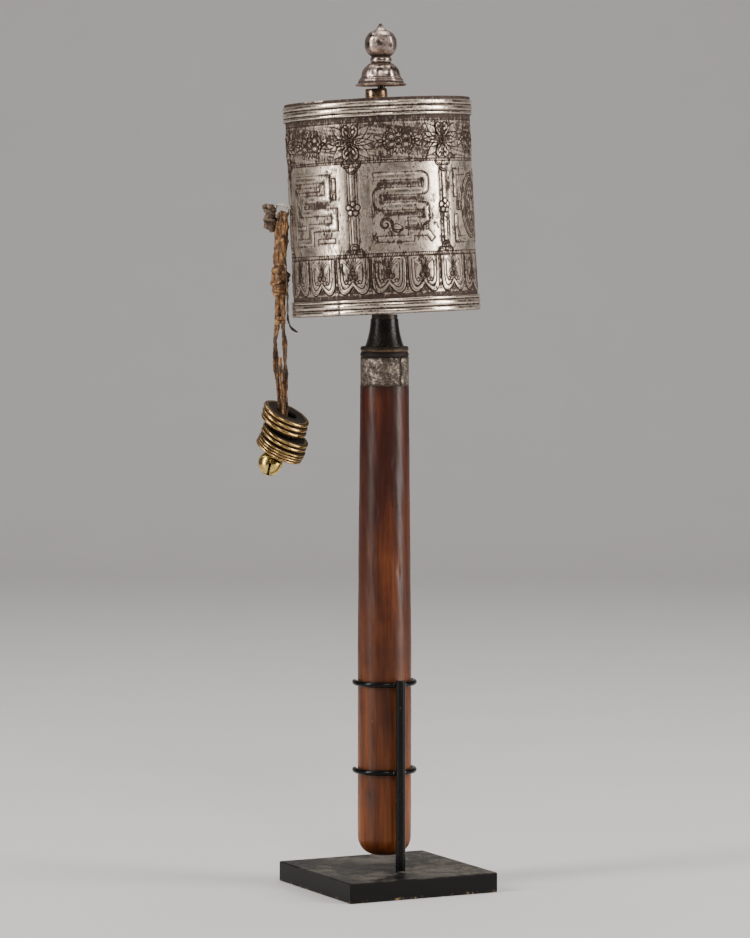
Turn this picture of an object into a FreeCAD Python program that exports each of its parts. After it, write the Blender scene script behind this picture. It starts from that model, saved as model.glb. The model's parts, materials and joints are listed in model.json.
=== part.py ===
import FreeCAD, Part
import math
import os

import Sketcher

# A hand-held prayer wheel standing in its display stand.
#
# Units are millimetres and degrees. The origin is the centre of the base plate's underside, and +Z is up.
# The weight plane is the upright plane through the handle axis and the eye that the weight cord hangs
# from: in the weight frame, X runs outward along it, Y is square to it and Z is height above the origin.
# The old axle leans a little, and the drum is slack on it and tips towards the weight.

# ---------------------------------------------------------------------------------------------------
# Driving dimensions
# ---------------------------------------------------------------------------------------------------

DIMENSIONS = [
    # stand
    ("base_side", 65.5, "side of the square base plate"),
    ("base_thick", 8.0, "thickness of the base plate"),
    ("base_bevel", 0.4, "bevel along the plate's edges"),
    ("rod_radius", 1.95, "upright rod"),
    ("rod_seat", 2.5, "height of the rod's lower end, in its blind hole"),
    ("rod_top", 84.4, "height of the rod's upper end"),
    ("rod_reach", 14.3, "from the handle axis forward to the rod axis"),
    ("wire_radius", 1.1, "clip wire"),
    ("clip_gap", 0.05, "slack between clip wire and handle"),
    ("clip_span", 236.0, "arc that a clip covers"),
    ("lower_clip_height", 47.1, "lower clip's centre"),
    ("upper_clip_height", 82.5, "upper clip's centre"),
    # handle
    ("handle_offset", 2.7, "handle axis behind the plate's centre"),
    ("grip_foot", 12.8, "lower end of the wooden grip"),
    ("grip_radius", 10.8, "grip, lower half"),
    ("grip_round", 7.4, "rounding of the grip's lower end"),
    ("grip_straight", 98.0, "height where the grip starts to taper"),
    ("grip_top", 201.6, "shoulder below the ferrule"),
    ("grip_top_radius", 9.8, "grip at the shoulder"),
    ("spigot_radius", 9.0, "turned end of the grip inside the ferrule"),
    ("ferrule_radius", 9.7, "silver ferrule"),
    ("ferrule_top", 213.0, "upper edge of the ferrule"),
    ("ring_radius", 9.3, "moulding rings, at their edges"),
    ("ring_swell", 0.45, "how far a moulding ring bulges"),
    ("ring_split", 215.2, "height where the two moulding rings meet"),
    ("ring_top", 217.4, "upper face of the upper moulding ring"),
    ("tenon_radius", 5.0, "neck's tenon through the rings"),
    ("neck_foot_radius", 7.8, "neck at the rings"),
    ("neck_top_radius", 5.6, "neck at the washer"),
    ("neck_hollow", 32.0, "radius of the neck's hollow flank"),
    ("neck_top", 228.3, "upper face of the neck"),
    ("washer_radius", 5.2, "thrust washer"),
    ("washer_thick", 1.75, "thrust washer"),
    ("axle_radius", 1.5, "iron axle"),
    ("axle_tang", 56.0, "length of axle driven into the handle below the neck's top"),
    ("axle_top", 334.0, "upper end of the axle"),
    ("axle_lean", 0.8, "lean of the axle in the weight plane"),
    ("weight_azimuth", 153.4, "direction of the weight plane from +X"),
    ("running_gap", 0.04, "running clearance on the axle"),
    # drum
    ("drum_foot", 230.5, "height of the drum's underside centre"),
    ("drum_shift", -0.78, "underside centre from the handle axis, in the weight plane"),
    ("drum_offset", 0.7, "underside centre from the handle axis, across the weight plane"),
    ("drum_tilt", 2.64, "tip of the drum towards the weight"),
    ("drum_lean", 1.0, "tip of the drum across the weight plane"),
    ("drum_height", 84.5, "from underside to lid top"),
    ("shell_radius", 36.8, "drum shell outside"),
    ("shell_wall", 0.7, "drum sheet"),
    ("lid_thick", 0.9, "top and bottom lids"),
    ("rim_root", 37.0, "grooves between the rim's beads"),
    ("rim_swell", 0.9, "how far a bead stands out of its groove"),
    ("rim_outer_bead", 2.3, "bead at the drum's edge"),
    ("rim_middle_bead", 2.5, "middle bead"),
    ("rim_inner_bead", 1.4, "bead next to the engraving"),
    ("rim_lip", 1.0, "plain lip above the top rim's beads"),
    ("collar_bore", 3.85, "collar on the lid and tube inside the drum"),
    ("collar_radius", 4.15, "collar at its ends"),
    ("collar_belly", 0.3, "how far the collar bulges"),
    ("collar_height", 5.1, "collar above the lid"),
    ("collar_foot", 0.3, "straight foot of the collar above the lid"),
    ("bush_bore", 2.7, "bottom bush"),
    ("bush_radius", 6.0, "bottom bush in the lid"),
    ("bush_flange_radius", 8.0, "flange of the bush inside the drum"),
    ("bush_flange_top", 2.0, "upper face of the flange above the drum's underside"),
    ("core_wall", 0.8, "tube that the scroll is wound on"),
    ("scroll_radius", 30.5, "wound paper"),
    ("scroll_low", 3.0, "scroll's lower edge above the drum's underside"),
    ("scroll_high", 81.0, "scroll's upper edge above the drum's underside"),
    ("wrap_thick", 0.6, "cloth round the scroll"),
    ("tie_radius", 0.5, "thread round the cloth"),
    ("tie_low", 22.0, "lower tie above the drum's underside"),
    ("tie_high", 62.0, "upper tie above the drum's underside"),
    # finial, heights along the axle
    ("dome_foot", 321.05, "edge of the dome canopy"),
    ("dome_lip", 0.6, "height of the canopy's edge"),
    ("dome_edge_radius", 10.3, "canopy's edge"),
    ("dome_flare_top", 323.3, "top of the flare"),
    ("dome_flare_radius", 8.8, "top of the flare"),
    ("dome_step", 324.3, "foot of the dome above the flare's moulding"),
    ("dome_radius", 7.9, "dome at its foot"),
    ("dome_top", 330.1, "top of the dome"),
    ("dome_top_radius", 4.3, "top of the dome"),
    ("dome_crown", 7.0, "radius of the dome's flank"),
    ("dome_hollow", 1.9, "depth of the hollow under the canopy"),
    ("axle_end_gap", 0.05, "between the axle's end and the bud's blind hole"),
    ("neck_ring_radius", 3.9, "finial's neck ring at its edges"),
    ("neck_ring_top", 332.7, "upper face of the neck ring"),
    ("bud_foot_radius", 3.6, "bud on the neck ring"),
    ("bud_belly_radius", 6.35, "bud's belly"),
    ("bud_belly", 338.4, "height of the belly"),
    ("bud_round", 5.2, "radius of the bud's flanks"),
    ("bud_shoulder_radius", 3.7, "bud where the tip starts"),
    ("bud_sweep", 7.5, "radius of the hollow below the tip"),
    ("bud_shoulder", 342.9, "height where the tip starts"),
    ("bud_tip", 346.0, "top of the finial"),
    # eye on the drum, in the drum's own frame
    ("eye_radius", 2.8, "eye ring, to the wire's centre"),
    ("eye_wire", 0.45, "eye wire"),
    ("eye_reach", 40.07, "eye's centre from the drum's axis"),
    ("eye_height", 42.4, "eye's centre above the drum's underside"),
    ("eye_plate_radius", 3.0, "plate that holds the eye's shank inside the drum"),
    ("eye_plate_thick", 0.6, "eye plate"),
    ("eye_plate_gap", 0.15, "between the flat plate and the round wall"),
    ("eye_hole_margin", 1.0, "how far the eye's drill runs past each face of the wall"),
    # weight cord and weights, in the weight frame
    ("cord_line", 41.7, "hanging cord from the handle axis"),
    ("loop_wire", 0.9, "cord where it loops through the eye"),
    ("loop_radius", 2.2, "loop, to the cord's centre"),
    ("loop_rise", 1.4, "loop's strand below the eye's centre"),
    ("bundle_radius", 2.4, "twisted bundle above the middle knot"),
    ("bundle_low", 250.6, "lower end of the upper bundle"),
    ("knot_radius", 3.8, "middle knot"),
    ("knot_low", 237.5, "underside of the middle knot"),
    ("knot_end", 0.6, "a knot's end radius as a share of its belly's"),
    ("lump_radius", 1.9, "knot beside the eye, across"),
    ("lump_half", 5.0, "knot beside the eye, half its height"),
    ("lump_line", 46.6, "knot beside the eye, from the handle axis"),
    ("lump_height", 268.6, "knot beside the eye, its centre"),
    ("wrap_radius", 1.95, "bound stretch below the middle knot"),
    ("wrap_low", 226.3, "lower end of the bound stretch"),
    ("wrap_pivot", 235.5, "centre of the bound stretch's rounded top"),
    ("strand_radius", 0.85, "one strand of the cord"),
    ("tail_radius", 0.45, "loose tail beside the knot"),
    ("weight_radius", 10.1, "weight washers"),
    ("weight_hole", 4.3, "weight washers' holes"),
    ("weight_roll", 27.0, "washers' tilt in the weight plane"),
    ("weight_pitch", 14.0, "washers' tilt across the weight plane"),
    ("weight_edge", 0.4, "how far a washer's edge bulges, as a share of its thickness"),
    ("spacer_radius", 6.0, "leather spacer between the washers"),
    ("spacer_thick", 1.8, "leather spacer"),
    ("bell_line", 45.6, "bell's centre from the handle axis"),
    ("bell_offset", 1.1, "bell's centre across the weight plane"),
    ("bell_height", 170.8, "bell's centre"),
    ("bell_roll", 13.0, "bell's tilt in the weight plane"),
    ("bell_pitch", 32.0, "bell's tilt across the weight plane"),
    ("bell_radius", 4.9, "bell's belly"),
    ("bell_up", 4.8, "bell's crown above its belly"),
    ("bell_down", 5.6, "bell's tip below its belly"),
    ("bell_wall", 0.55, "bell's metal"),
    ("bell_flank", 0.74, "radius of the bell's flanks as a share of their chord"),
    ("bell_loop", 1.3, "bell's loop, to the wire's centre"),
    ("bell_loop_rise", 0.91, "centre of the bell's loop above its crown"),
    ("bell_slot", 1.0, "width of the slots in the bell's mouth"),
    ("bell_slot_top", 2.4, "upper end of the slots below the belly"),
    ("pellet_radius", 1.7, "loose pellet"),
    ("pellet_gap", 0.35, "below the pellet in the bell's bowl"),
]

# Weight washers from the top down: thickness, and the centre's distance out and height in the weight frame.
WEIGHTS = [
    (1.70, 39.3, 190.2),
    (1.70, 39.8, 188.2),
    (1.70, 40.3, 186.2),
    (1.45, 39.6, 181.9),
    (1.45, 40.3, 180.3),
    (0.95, 40.8, 178.3),
    (0.95, 41.3, 177.3),
    (0.95, 41.8, 176.4),
    (0.95, 42.3, 175.5),
]
SPACER = (39.95, 183.98)

# How much of the shorter run a bend in a cord's route takes up.
BEND_SHARE = 0.45

# Routes of the free strands in the weight frame, from the bound stretch down to the bell's loop.
STRAND_ROUTES = {
    "strand_outer": [
        (42.80, 0.0, 226.1), (43.75, 0.2, 221.5), (43.70, 0.1, 213.5), (43.10, 0.0, 205.5),
        (42.05, 0.0, 198.0), (41.25, 0.0, 191.5), (42.20, 0.0, 184.0), (43.95, 0.0, 177.6),
    ],
    "strand_inner": [
        (40.70, 0.0, 226.1), (40.10, -0.1, 221.5), (39.75, 0.0, 213.5), (39.65, 0.0, 205.5),
        (39.50, 0.0, 198.0), (39.45, 0.0, 191.5), (40.45, 0.0, 184.0), (42.10, 0.0, 177.6),
    ],
    "strand_middle": [
        (41.70, 0.9, 213.0), (41.45, 1.4, 205.5), (40.95, 1.5, 198.0), (40.35, 1.5, 191.5),
        (41.33, 1.5, 184.0), (43.05, 1.5, 177.6),
    ],
}
TAIL_ROUTE = [
    (40.40, 4.55, 253.0), (39.30, 5.10, 248.5), (38.85, 4.70, 243.0), (38.65, 4.10, 237.5),
    (38.75, 4.00, 232.0), (38.50, 4.30, 227.2), (36.80, 5.10, 224.0), (34.60, 5.80, 223.2),
]

doc = FreeCAD.newDocument("PrayerWheel")
sheet = doc.addObject("Spreadsheet::Sheet", "dims")


# ---------------------------------------------------------------------------------------------------
# Dimensions as values that carry their spreadsheet expression
# ---------------------------------------------------------------------------------------------------

class Dim:
    """A number together with the expression over the spreadsheet that gives it."""

    def __init__(self, value, text):
        self.value = value
        self.text = text

    def __add__(self, other):
        other = as_dim(other)
        return Dim(self.value + other.value, f"({self.text} + {other.text})")

    def __sub__(self, other):
        other = as_dim(other)
        return Dim(self.value - other.value, f"({self.text} - {other.text})")

    def __mul__(self, other):
        other = as_dim(other)
        return Dim(self.value * other.value, f"({self.text} * {other.text})")

    def __truediv__(self, other):
        other = as_dim(other)
        return Dim(self.value / other.value, f"({self.text} / {other.text})")

    def __neg__(self):
        return Dim(-self.value, f"(-1 * {self.text})")


def as_dim(item):
    return item if isinstance(item, Dim) else Dim(float(item), f"({item})")


def fill_sheet():
    """Write the driving dimensions to the sheet and give each one back by its name."""
    found = {}
    for row, (name, value, meaning) in enumerate(DIMENSIONS, start=1):
        sheet.set(f"A{row}", meaning)
        sheet.set(f"B{row}", str(value))
        sheet.setAlias(f"B{row}", name)
        found[name] = Dim(value, f"dims.{name}")
    doc.recompute()
    return found


D = fill_sheet()
ZERO = as_dim(0)


def sine(angle):
    return Dim(math.sin(math.radians(angle.value)), f"sin({angle.text})")


def cosine(angle):
    return Dim(math.cos(math.radians(angle.value)), f"cos({angle.text})")


def arc_radius(chord, swell):
    """Radius of an arc that rises by swell over a chord."""
    return (chord * chord / 4 + swell * swell) / (swell * 2)


# ---------------------------------------------------------------------------------------------------
# Frames, as placement expressions
# ---------------------------------------------------------------------------------------------------

def shifted(x=ZERO, y=ZERO, z=ZERO, turn="rotationz(0)"):
    x, y, z = as_dim(x), as_dim(y), as_dim(z)
    return f"placement(vector({x.text}; {y.text}; {z.text}); {turn})"


HANDLE_FRAME = shifted(y=D["handle_offset"])
WEIGHT_FRAME = shifted(y=D["handle_offset"], turn="rotationz(dims.weight_azimuth)")
AXLE_FRAME = " * ".join([
    WEIGHT_FRAME,
    shifted(z=D["neck_top"], turn="rotationy(dims.axle_lean)"),
    shifted(z=-D["neck_top"]),
])
DRUM_FRAME = " * ".join([
    WEIGHT_FRAME,
    shifted(x=D["drum_shift"], y=D["drum_offset"], z=D["drum_foot"],
            turn="rotationy(dims.drum_tilt) * rotationx(dims.drum_lean)"),
])
EYE_FRAME = " * ".join([
    DRUM_FRAME,
    shifted(x=D["eye_reach"], z=D["eye_height"],
            turn="rotationx(-dims.drum_lean) * rotationy(-dims.drum_tilt)"),
])
BELL_FRAME = " * ".join([
    WEIGHT_FRAME,
    shifted(x=D["bell_line"], y=D["bell_offset"], z=D["bell_height"],
            turn="rotationy(-dims.bell_roll) * rotationx(dims.bell_pitch)"),
])


def place(item, frame):
    item.setExpression("Placement", frame)
    return item


# ---------------------------------------------------------------------------------------------------
# Shared builders
# ---------------------------------------------------------------------------------------------------

def origin_plane(body, role):
    return [part for part in body.Origin.OriginFeatures if part.Role == role][0]


def arc_between(start, end, radius, side):
    """Arc of a given radius from start to end that bulges to the right of the way (1) or to the left (-1)."""
    chord = end - start
    depth = math.sqrt(max(radius ** 2 - (chord.Length / 2) ** 2, 0.0))
    right = FreeCAD.Vector(chord.y, -chord.x, 0).normalize()
    centre = (start + end) / 2 - right * (depth * side)
    first, last = (start, end) if side > 0 else (end, start)
    angles = [math.atan2(point.y - centre.y, point.x - centre.x) for point in (first, last)]
    circle = Part.Circle(centre, FreeCAD.Vector(0, 0, 1), radius)
    return Part.ArcOfCircle(circle, angles[0], angles[1])


def draw_outline(sketch, outline):
    """Close an outline of corners (across, up) in a sketch, with every corner bound to the sheet.

    A corner with two more values, an arc's radius and the side it bulges to, starts an arc to the next.
    """
    ends = []
    for i, corner in enumerate(outline):
        following = outline[(i + 1) % len(outline)]
        start = FreeCAD.Vector(corner[0].value, corner[1].value, 0)
        end = FreeCAD.Vector(following[0].value, following[1].value, 0)
        if len(corner) == 4:
            sketch.addGeometry(arc_between(start, end, corner[2].value, corner[3]), False)
            ends.append((1, 2) if corner[3] > 0 else (2, 1))
        else:
            sketch.addGeometry(Part.LineSegment(start, end), False)
            ends.append((1, 2))
    for i in range(len(outline)):
        after = (i + 1) % len(outline)
        sketch.addConstraint(Sketcher.Constraint("Coincident", i, ends[i][1], after, ends[after][0]))
    for i, corner in enumerate(outline):
        for kind, axis, size in (("DistanceX", -2, corner[0]), ("DistanceY", -1, corner[1])):
            if size is ZERO:
                sketch.addConstraint(Sketcher.Constraint("PointOnObject", i, ends[i][0], axis))
                continue
            place_in_list = sketch.addConstraint(
                Sketcher.Constraint(kind, -1, 1, i, ends[i][0], size.value))
            sketch.setExpression(f"Constraints[{place_in_list}]", size.text)
        if len(corner) == 4:
            place_in_list = sketch.addConstraint(Sketcher.Constraint("Radius", i, corner[2].value))
            sketch.setExpression(f"Constraints[{place_in_list}]", corner[2].text)


def turned(label, outline, frame):
    """A piece turned about its own Z axis from an outline of (radius, height) corners."""
    body = doc.addObject("PartDesign::Body", label)
    sketch = body.newObject("Sketcher::SketchObject", label + "_outline")
    sketch.AttachmentSupport = [(origin_plane(body, "XZ_Plane"), "")]
    sketch.MapMode = "FlatFace"
    draw_outline(sketch, outline)
    doc.recompute()
    revolution = body.newObject("PartDesign::Revolution", label + "_turn")
    revolution.Profile = sketch
    revolution.ReferenceAxis = (sketch, ["V_Axis"])
    revolution.Angle = 360
    body.Tip = revolution
    return place(body, frame)


def ring_outline(inner, outer, low, high):
    return [(inner, low), (outer, low), (outer, high), (inner, high)]


def cylinder(label, radius, height, frame):
    item = doc.addObject("Part::Cylinder", label)
    item.setExpression("Radius", radius.text)
    item.setExpression("Height", height.text)
    return place(item, frame)


def torus(label, ring_radius, wire_radius, frame):
    item = doc.addObject("Part::Torus", label)
    item.setExpression("Radius1", ring_radius.text)
    item.setExpression("Radius2", wire_radius.text)
    return place(item, frame)


def cut(label, base, tool):
    item = doc.addObject("Part::Cut", label)
    item.Base = base
    item.Tool = tool
    return item


def fused(label, pieces):
    item = doc.addObject("Part::MultiFuse", label)
    item.Shapes = pieces
    return item


# ---------------------------------------------------------------------------------------------------
# Stand
# ---------------------------------------------------------------------------------------------------

def rod_frame(low):
    return HANDLE_FRAME + " * " + shifted(y=-D["rod_reach"], z=low)


def base_plate():
    """Square plate with bevelled edges and a blind hole for the rod."""
    half = D["base_side"] / 2
    body = doc.addObject("PartDesign::Body", "base_blank")
    sketch = body.newObject("Sketcher::SketchObject", "base_outline")
    sketch.AttachmentSupport = [(origin_plane(body, "XY_Plane"), "")]
    sketch.MapMode = "FlatFace"
    draw_outline(sketch, [(-half, -half), (half, -half), (half, half), (-half, half)])
    doc.recompute()
    plate = body.newObject("PartDesign::Pad", "base_pad")
    plate.Profile = sketch
    plate.setExpression("Length", D["base_thick"].text)
    doc.recompute()
    bevel = body.newObject("PartDesign::Chamfer", "base_bevel")
    bevel.Base = (plate, [f"Edge{i + 1}" for i in range(len(plate.Shape.Edges))])
    bevel.setExpression("Size", D["base_bevel"].text)
    body.Tip = bevel
    hole = cylinder("rod_hole", D["rod_radius"], D["base_thick"], rod_frame(D["rod_seat"]))
    return cut("stand_base", body, hole)


def stand_rod():
    return cylinder("stand_rod", D["rod_radius"], D["rod_top"] - D["rod_seat"], rod_frame(D["rod_seat"]))


def clip(label, height):
    """Wire clip, open at the back of the handle, with a seat cut for the rod it is brazed to."""
    ring_radius = D["grip_radius"] + D["clip_gap"] + D["wire_radius"]
    start = Dim(270, "270") - D["clip_span"] / 2
    frame = HANDLE_FRAME + " * " + shifted(z=height, turn=f"rotationz({start.text})")
    wire = torus(label + "_wire", ring_radius, D["wire_radius"], frame)
    wire.setExpression("Angle3", D["clip_span"].text)
    seat = cylinder(label + "_seat", D["rod_radius"], D["rod_top"], rod_frame(ZERO))
    return cut(label, wire, seat)


# ---------------------------------------------------------------------------------------------------
# Handle
# ---------------------------------------------------------------------------------------------------

def axle_solid(label):
    low = D["neck_top"] - D["axle_tang"]
    return cylinder(label, D["axle_radius"], D["axle_top"] - low, AXLE_FRAME + " * " + shifted(z=low))


def bored_for_axle(label, blank):
    return cut(label, blank, axle_solid(label + "_bore"))


def handle_grip():
    """Wooden grip: rounded lower end, straight lower half, slight taper and a turned spigot."""
    radius, foot, rounding = D["grip_radius"], D["grip_foot"], D["grip_round"]
    outline = [
        (ZERO, foot),
        (radius - rounding, foot, rounding, 1),
        (radius, foot + rounding),
        (radius, D["grip_straight"]),
        (D["grip_top_radius"], D["grip_top"]),
        (D["spigot_radius"], D["grip_top"]),
        (D["spigot_radius"], D["ferrule_top"]),
        (ZERO, D["ferrule_top"]),
    ]
    return bored_for_axle("handle_grip", turned("grip_blank", outline, HANDLE_FRAME))


def ferrule():
    outline = ring_outline(D["spigot_radius"], D["ferrule_radius"], D["grip_top"], D["ferrule_top"])
    return turned("ferrule", outline, HANDLE_FRAME)


def moulding_ring(label, low, high):
    swell = arc_radius(high - low, D["ring_swell"])
    outline = [
        (D["tenon_radius"], low),
        (D["ring_radius"], low, swell, 1),
        (D["ring_radius"], high),
        (D["tenon_radius"], high),
    ]
    return turned(label, outline, HANDLE_FRAME)


def neck():
    """Horn neck with a hollow flank and a tenon that holds the moulding rings."""
    outline = [
        (ZERO, D["ferrule_top"]),
        (D["tenon_radius"], D["ferrule_top"]),
        (D["tenon_radius"], D["ring_top"]),
        (D["neck_foot_radius"], D["ring_top"], D["neck_hollow"], -1),
        (D["neck_top_radius"], D["neck_top"]),
        (ZERO, D["neck_top"]),
    ]
    return bored_for_axle("neck", turned("neck_blank", outline, HANDLE_FRAME))


def thrust_washer():
    top = D["neck_top"] + D["washer_thick"]
    outline = ring_outline(ZERO, D["washer_radius"], D["neck_top"], top)
    return bored_for_axle("thrust_washer", turned("thrust_washer_blank", outline, HANDLE_FRAME))


# ---------------------------------------------------------------------------------------------------
# Drum
# ---------------------------------------------------------------------------------------------------

def drum_shell():
    """Sheet cylinder with the hole that the eye's shank goes through."""
    inside = D["shell_radius"] - D["shell_wall"]
    outline = ring_outline(inside, D["shell_radius"], D["lid_thick"], D["drum_height"] - D["lid_thick"])
    blank = turned("shell_blank", outline, DRUM_FRAME)
    margin = D["eye_hole_margin"]
    frame = DRUM_FRAME + " * " + shifted(x=inside - margin, z=D["eye_height"], turn="rotationy(90)")
    return cut("drum_shell", blank, cylinder("eye_hole", D["eye_wire"], D["shell_wall"] + margin * 2, frame))


def rim(label, low, beads, lip=ZERO):
    """Rim ring of half-round beads, stacked upward from low, with an optional plain lip above them."""
    outline = [(D["shell_radius"], low)]
    level = low
    for bead in beads:
        outline.append((D["rim_root"], level, arc_radius(bead, D["rim_swell"]), 1))
        level = level + bead
    outline.append((D["rim_root"], level))
    if lip is not ZERO:
        level = level + lip
        outline.append((D["rim_root"], level))
    outline.append((D["shell_radius"], level))
    return turned(label, outline, DRUM_FRAME)


def bottom_rim():
    return rim("bottom_rim", ZERO, [D["rim_outer_bead"], D["rim_middle_bead"], D["rim_inner_bead"]])


def top_rim():
    beads = [D["rim_inner_bead"], D["rim_middle_bead"], D["rim_outer_bead"]]
    low = D["drum_height"] - D["rim_lip"] - D["rim_outer_bead"] - D["rim_middle_bead"] - D["rim_inner_bead"]
    return rim("top_rim", low, beads, D["rim_lip"])


def lids():
    bottom = ring_outline(D["bush_radius"], D["shell_radius"], ZERO, D["lid_thick"])
    top = ring_outline(D["collar_radius"], D["shell_radius"],
                       D["drum_height"] - D["lid_thick"], D["drum_height"])
    return [turned("bottom_lid", bottom, DRUM_FRAME), turned("top_lid", top, DRUM_FRAME)]


def bottom_bush():
    outline = [
        (D["bush_bore"], ZERO),
        (D["bush_radius"], ZERO),
        (D["bush_radius"], D["lid_thick"]),
        (D["bush_flange_radius"], D["lid_thick"]),
        (D["bush_flange_radius"], D["bush_flange_top"]),
        (D["bush_bore"], D["bush_flange_top"]),
    ]
    return turned("bottom_bush", outline, DRUM_FRAME)


def top_collar():
    """Barrel-shaped collar that stands on the lid round the axle."""
    foot = D["drum_height"] - D["lid_thick"]
    waist = D["drum_height"] + D["collar_foot"]
    top = D["drum_height"] + D["collar_height"]
    outline = [
        (D["collar_bore"], foot),
        (D["collar_radius"], foot),
        (D["collar_radius"], waist, arc_radius(top - waist, D["collar_belly"]), 1),
        (D["collar_radius"], top),
        (D["collar_bore"], top),
    ]
    return turned("top_collar", outline, DRUM_FRAME)


def drum_filling():
    """Core tube, wound paper, its cloth and the two threads tied round it."""
    core_radius = D["collar_bore"] + D["core_wall"]
    cloth_radius = D["scroll_radius"] + D["wrap_thick"]
    lid_under = D["drum_height"] - D["lid_thick"]
    core = ring_outline(D["collar_bore"], core_radius, D["bush_flange_top"], lid_under)
    paper = ring_outline(core_radius, D["scroll_radius"], D["scroll_low"], D["scroll_high"])
    cloth = ring_outline(D["scroll_radius"], cloth_radius, D["scroll_low"], D["scroll_high"])
    pieces = [
        turned("core_tube", core, DRUM_FRAME),
        turned("prayer_scroll", paper, DRUM_FRAME),
        turned("scroll_cloth", cloth, DRUM_FRAME),
    ]
    for label, height in (("scroll_tie_lower", D["tie_low"]), ("scroll_tie_upper", D["tie_high"])):
        frame = DRUM_FRAME + " * " + shifted(z=height)
        pieces.append(torus(label, cloth_radius + D["tie_radius"], D["tie_radius"], frame))
    return pieces


def drum_eye():
    """Wire eye on a shank through the drum wall, and the plate that holds the shank inside."""
    plate_outer = D["shell_radius"] - D["shell_wall"] - D["eye_plate_gap"]
    plate_inner = plate_outer - D["eye_plate_thick"]

    def shank_frame(start):
        return DRUM_FRAME + " * " + shifted(x=start, z=D["eye_height"], turn="rotationy(90)")

    ring_frame = DRUM_FRAME + " * " + shifted(x=D["eye_reach"], z=D["eye_height"], turn="rotationx(90)")
    ring = torus("eye_wire_ring", D["eye_radius"], D["eye_wire"], ring_frame)
    shank_length = D["eye_reach"] - D["eye_radius"] - plate_inner
    shank = cylinder("eye_shank", D["eye_wire"], shank_length, shank_frame(plate_inner))
    blank = cylinder("eye_plate_blank", D["eye_plate_radius"], D["eye_plate_thick"], shank_frame(plate_inner))
    hole = cylinder("eye_plate_hole", D["eye_wire"], D["eye_plate_thick"], shank_frame(plate_inner))
    return [fused("weight_eye", [ring, shank]), cut("eye_plate", blank, hole)]


# ---------------------------------------------------------------------------------------------------
# Finial
# ---------------------------------------------------------------------------------------------------

def canopy_dome():
    bore = D["axle_radius"] + D["running_gap"]
    ceiling = D["dome_foot"] + D["dome_hollow"]
    outline = [
        (bore, ceiling),
        (D["dome_radius"], ceiling),
        (D["dome_edge_radius"] - D["dome_lip"], D["dome_foot"]),
        (D["dome_edge_radius"], D["dome_foot"]),
        (D["dome_edge_radius"], D["dome_foot"] + D["dome_lip"]),
        (D["dome_flare_radius"], D["dome_flare_top"]),
        (D["dome_radius"], D["dome_step"], D["dome_crown"], 1),
        (D["dome_top_radius"], D["dome_top"]),
        (bore, D["dome_top"]),
    ]
    return turned("canopy_dome", outline, AXLE_FRAME)


def finial_neck_ring():
    bore = D["axle_radius"] + D["running_gap"]
    swell = arc_radius(D["neck_ring_top"] - D["dome_top"], D["ring_swell"])
    outline = [
        (bore, D["dome_top"]),
        (D["neck_ring_radius"], D["dome_top"], swell, 1),
        (D["neck_ring_radius"], D["neck_ring_top"]),
        (bore, D["neck_ring_top"]),
    ]
    return turned("finial_neck_ring", outline, AXLE_FRAME)


def finial_bud():
    bore = D["axle_radius"] + D["running_gap"]
    ceiling = D["axle_top"] + D["axle_end_gap"]
    outline = [
        (bore, D["neck_ring_top"]),
        (D["bud_foot_radius"], D["neck_ring_top"], D["bud_round"], 1),
        (D["bud_belly_radius"], D["bud_belly"], D["bud_round"], 1),
        (D["bud_shoulder_radius"], D["bud_shoulder"], D["bud_sweep"], -1),
        (ZERO, D["bud_tip"]),
        (ZERO, ceiling),
        (bore, ceiling),
    ]
    return turned("finial_bud", outline, AXLE_FRAME)


# ---------------------------------------------------------------------------------------------------
# Weight cord
# ---------------------------------------------------------------------------------------------------

def tangent_path(points):
    """Straight runs joined by arcs as large as each pair of runs allows, and the arcs' radii."""
    points = [FreeCAD.Vector(*point) for point in points]
    edges = []
    radii = []
    here = points[0]
    for before, corner, after in zip(points, points[1:], points[2:]):
        way_in = (before - corner).normalize()
        way_out = (after - corner).normalize()
        turn = math.pi - way_in.getAngle(way_out)
        run = min((before - corner).Length, (after - corner).Length)
        reach = BEND_SHARE * run
        radius = reach / math.tan(turn / 2)
        start = corner + way_in * reach
        end = corner + way_out * reach
        middle_way = (way_in + way_out).normalize()
        middle = corner + middle_way * (radius / math.cos(turn / 2) - radius)
        edges.append(Part.LineSegment(here, start).toShape())
        edges.append(Part.Arc(start, middle, end).toShape())
        radii.append(radius)
        here = end
    edges.append(Part.LineSegment(here, points[-1]).toShape())
    return Part.Wire(edges), radii


def tube_along(label, points, radius, frame):
    """Cord solid of round section along a route, with its volume compared with section times length."""
    path, radii = tangent_path(points)
    start = path.Edges[0].Vertexes[0].Point
    way = path.Edges[0].tangentAt(path.Edges[0].FirstParameter)
    section = Part.Wire([Part.Circle(start, way, radius.value).toShape()])
    sweep = Part.BRepOffsetAPI.MakePipeShell(path)
    sweep.add(section)
    sweep.build()
    sweep.makeSolid()
    solid = sweep.shape()
    expected = math.pi * radius.value ** 2 * path.Length
    print(f"{label}: length {path.Length:.2f}, radii {[round(size, 1) for size in radii]}, "
          f"volume over section times length {solid.Volume / expected:.4f}")
    feature = doc.addObject("Part::Feature", label)
    feature.Shape = solid
    return place(feature, frame)


def knot_outline(low, high, radius):
    """Barrel outline, closed on its axis, for a knot between two heights."""
    end_radius = radius * D["knot_end"]
    flank = arc_radius(high - low, radius - end_radius)
    return [(ZERO, low), (end_radius, low, flank, 1), (end_radius, high), (ZERO, high)]


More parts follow.
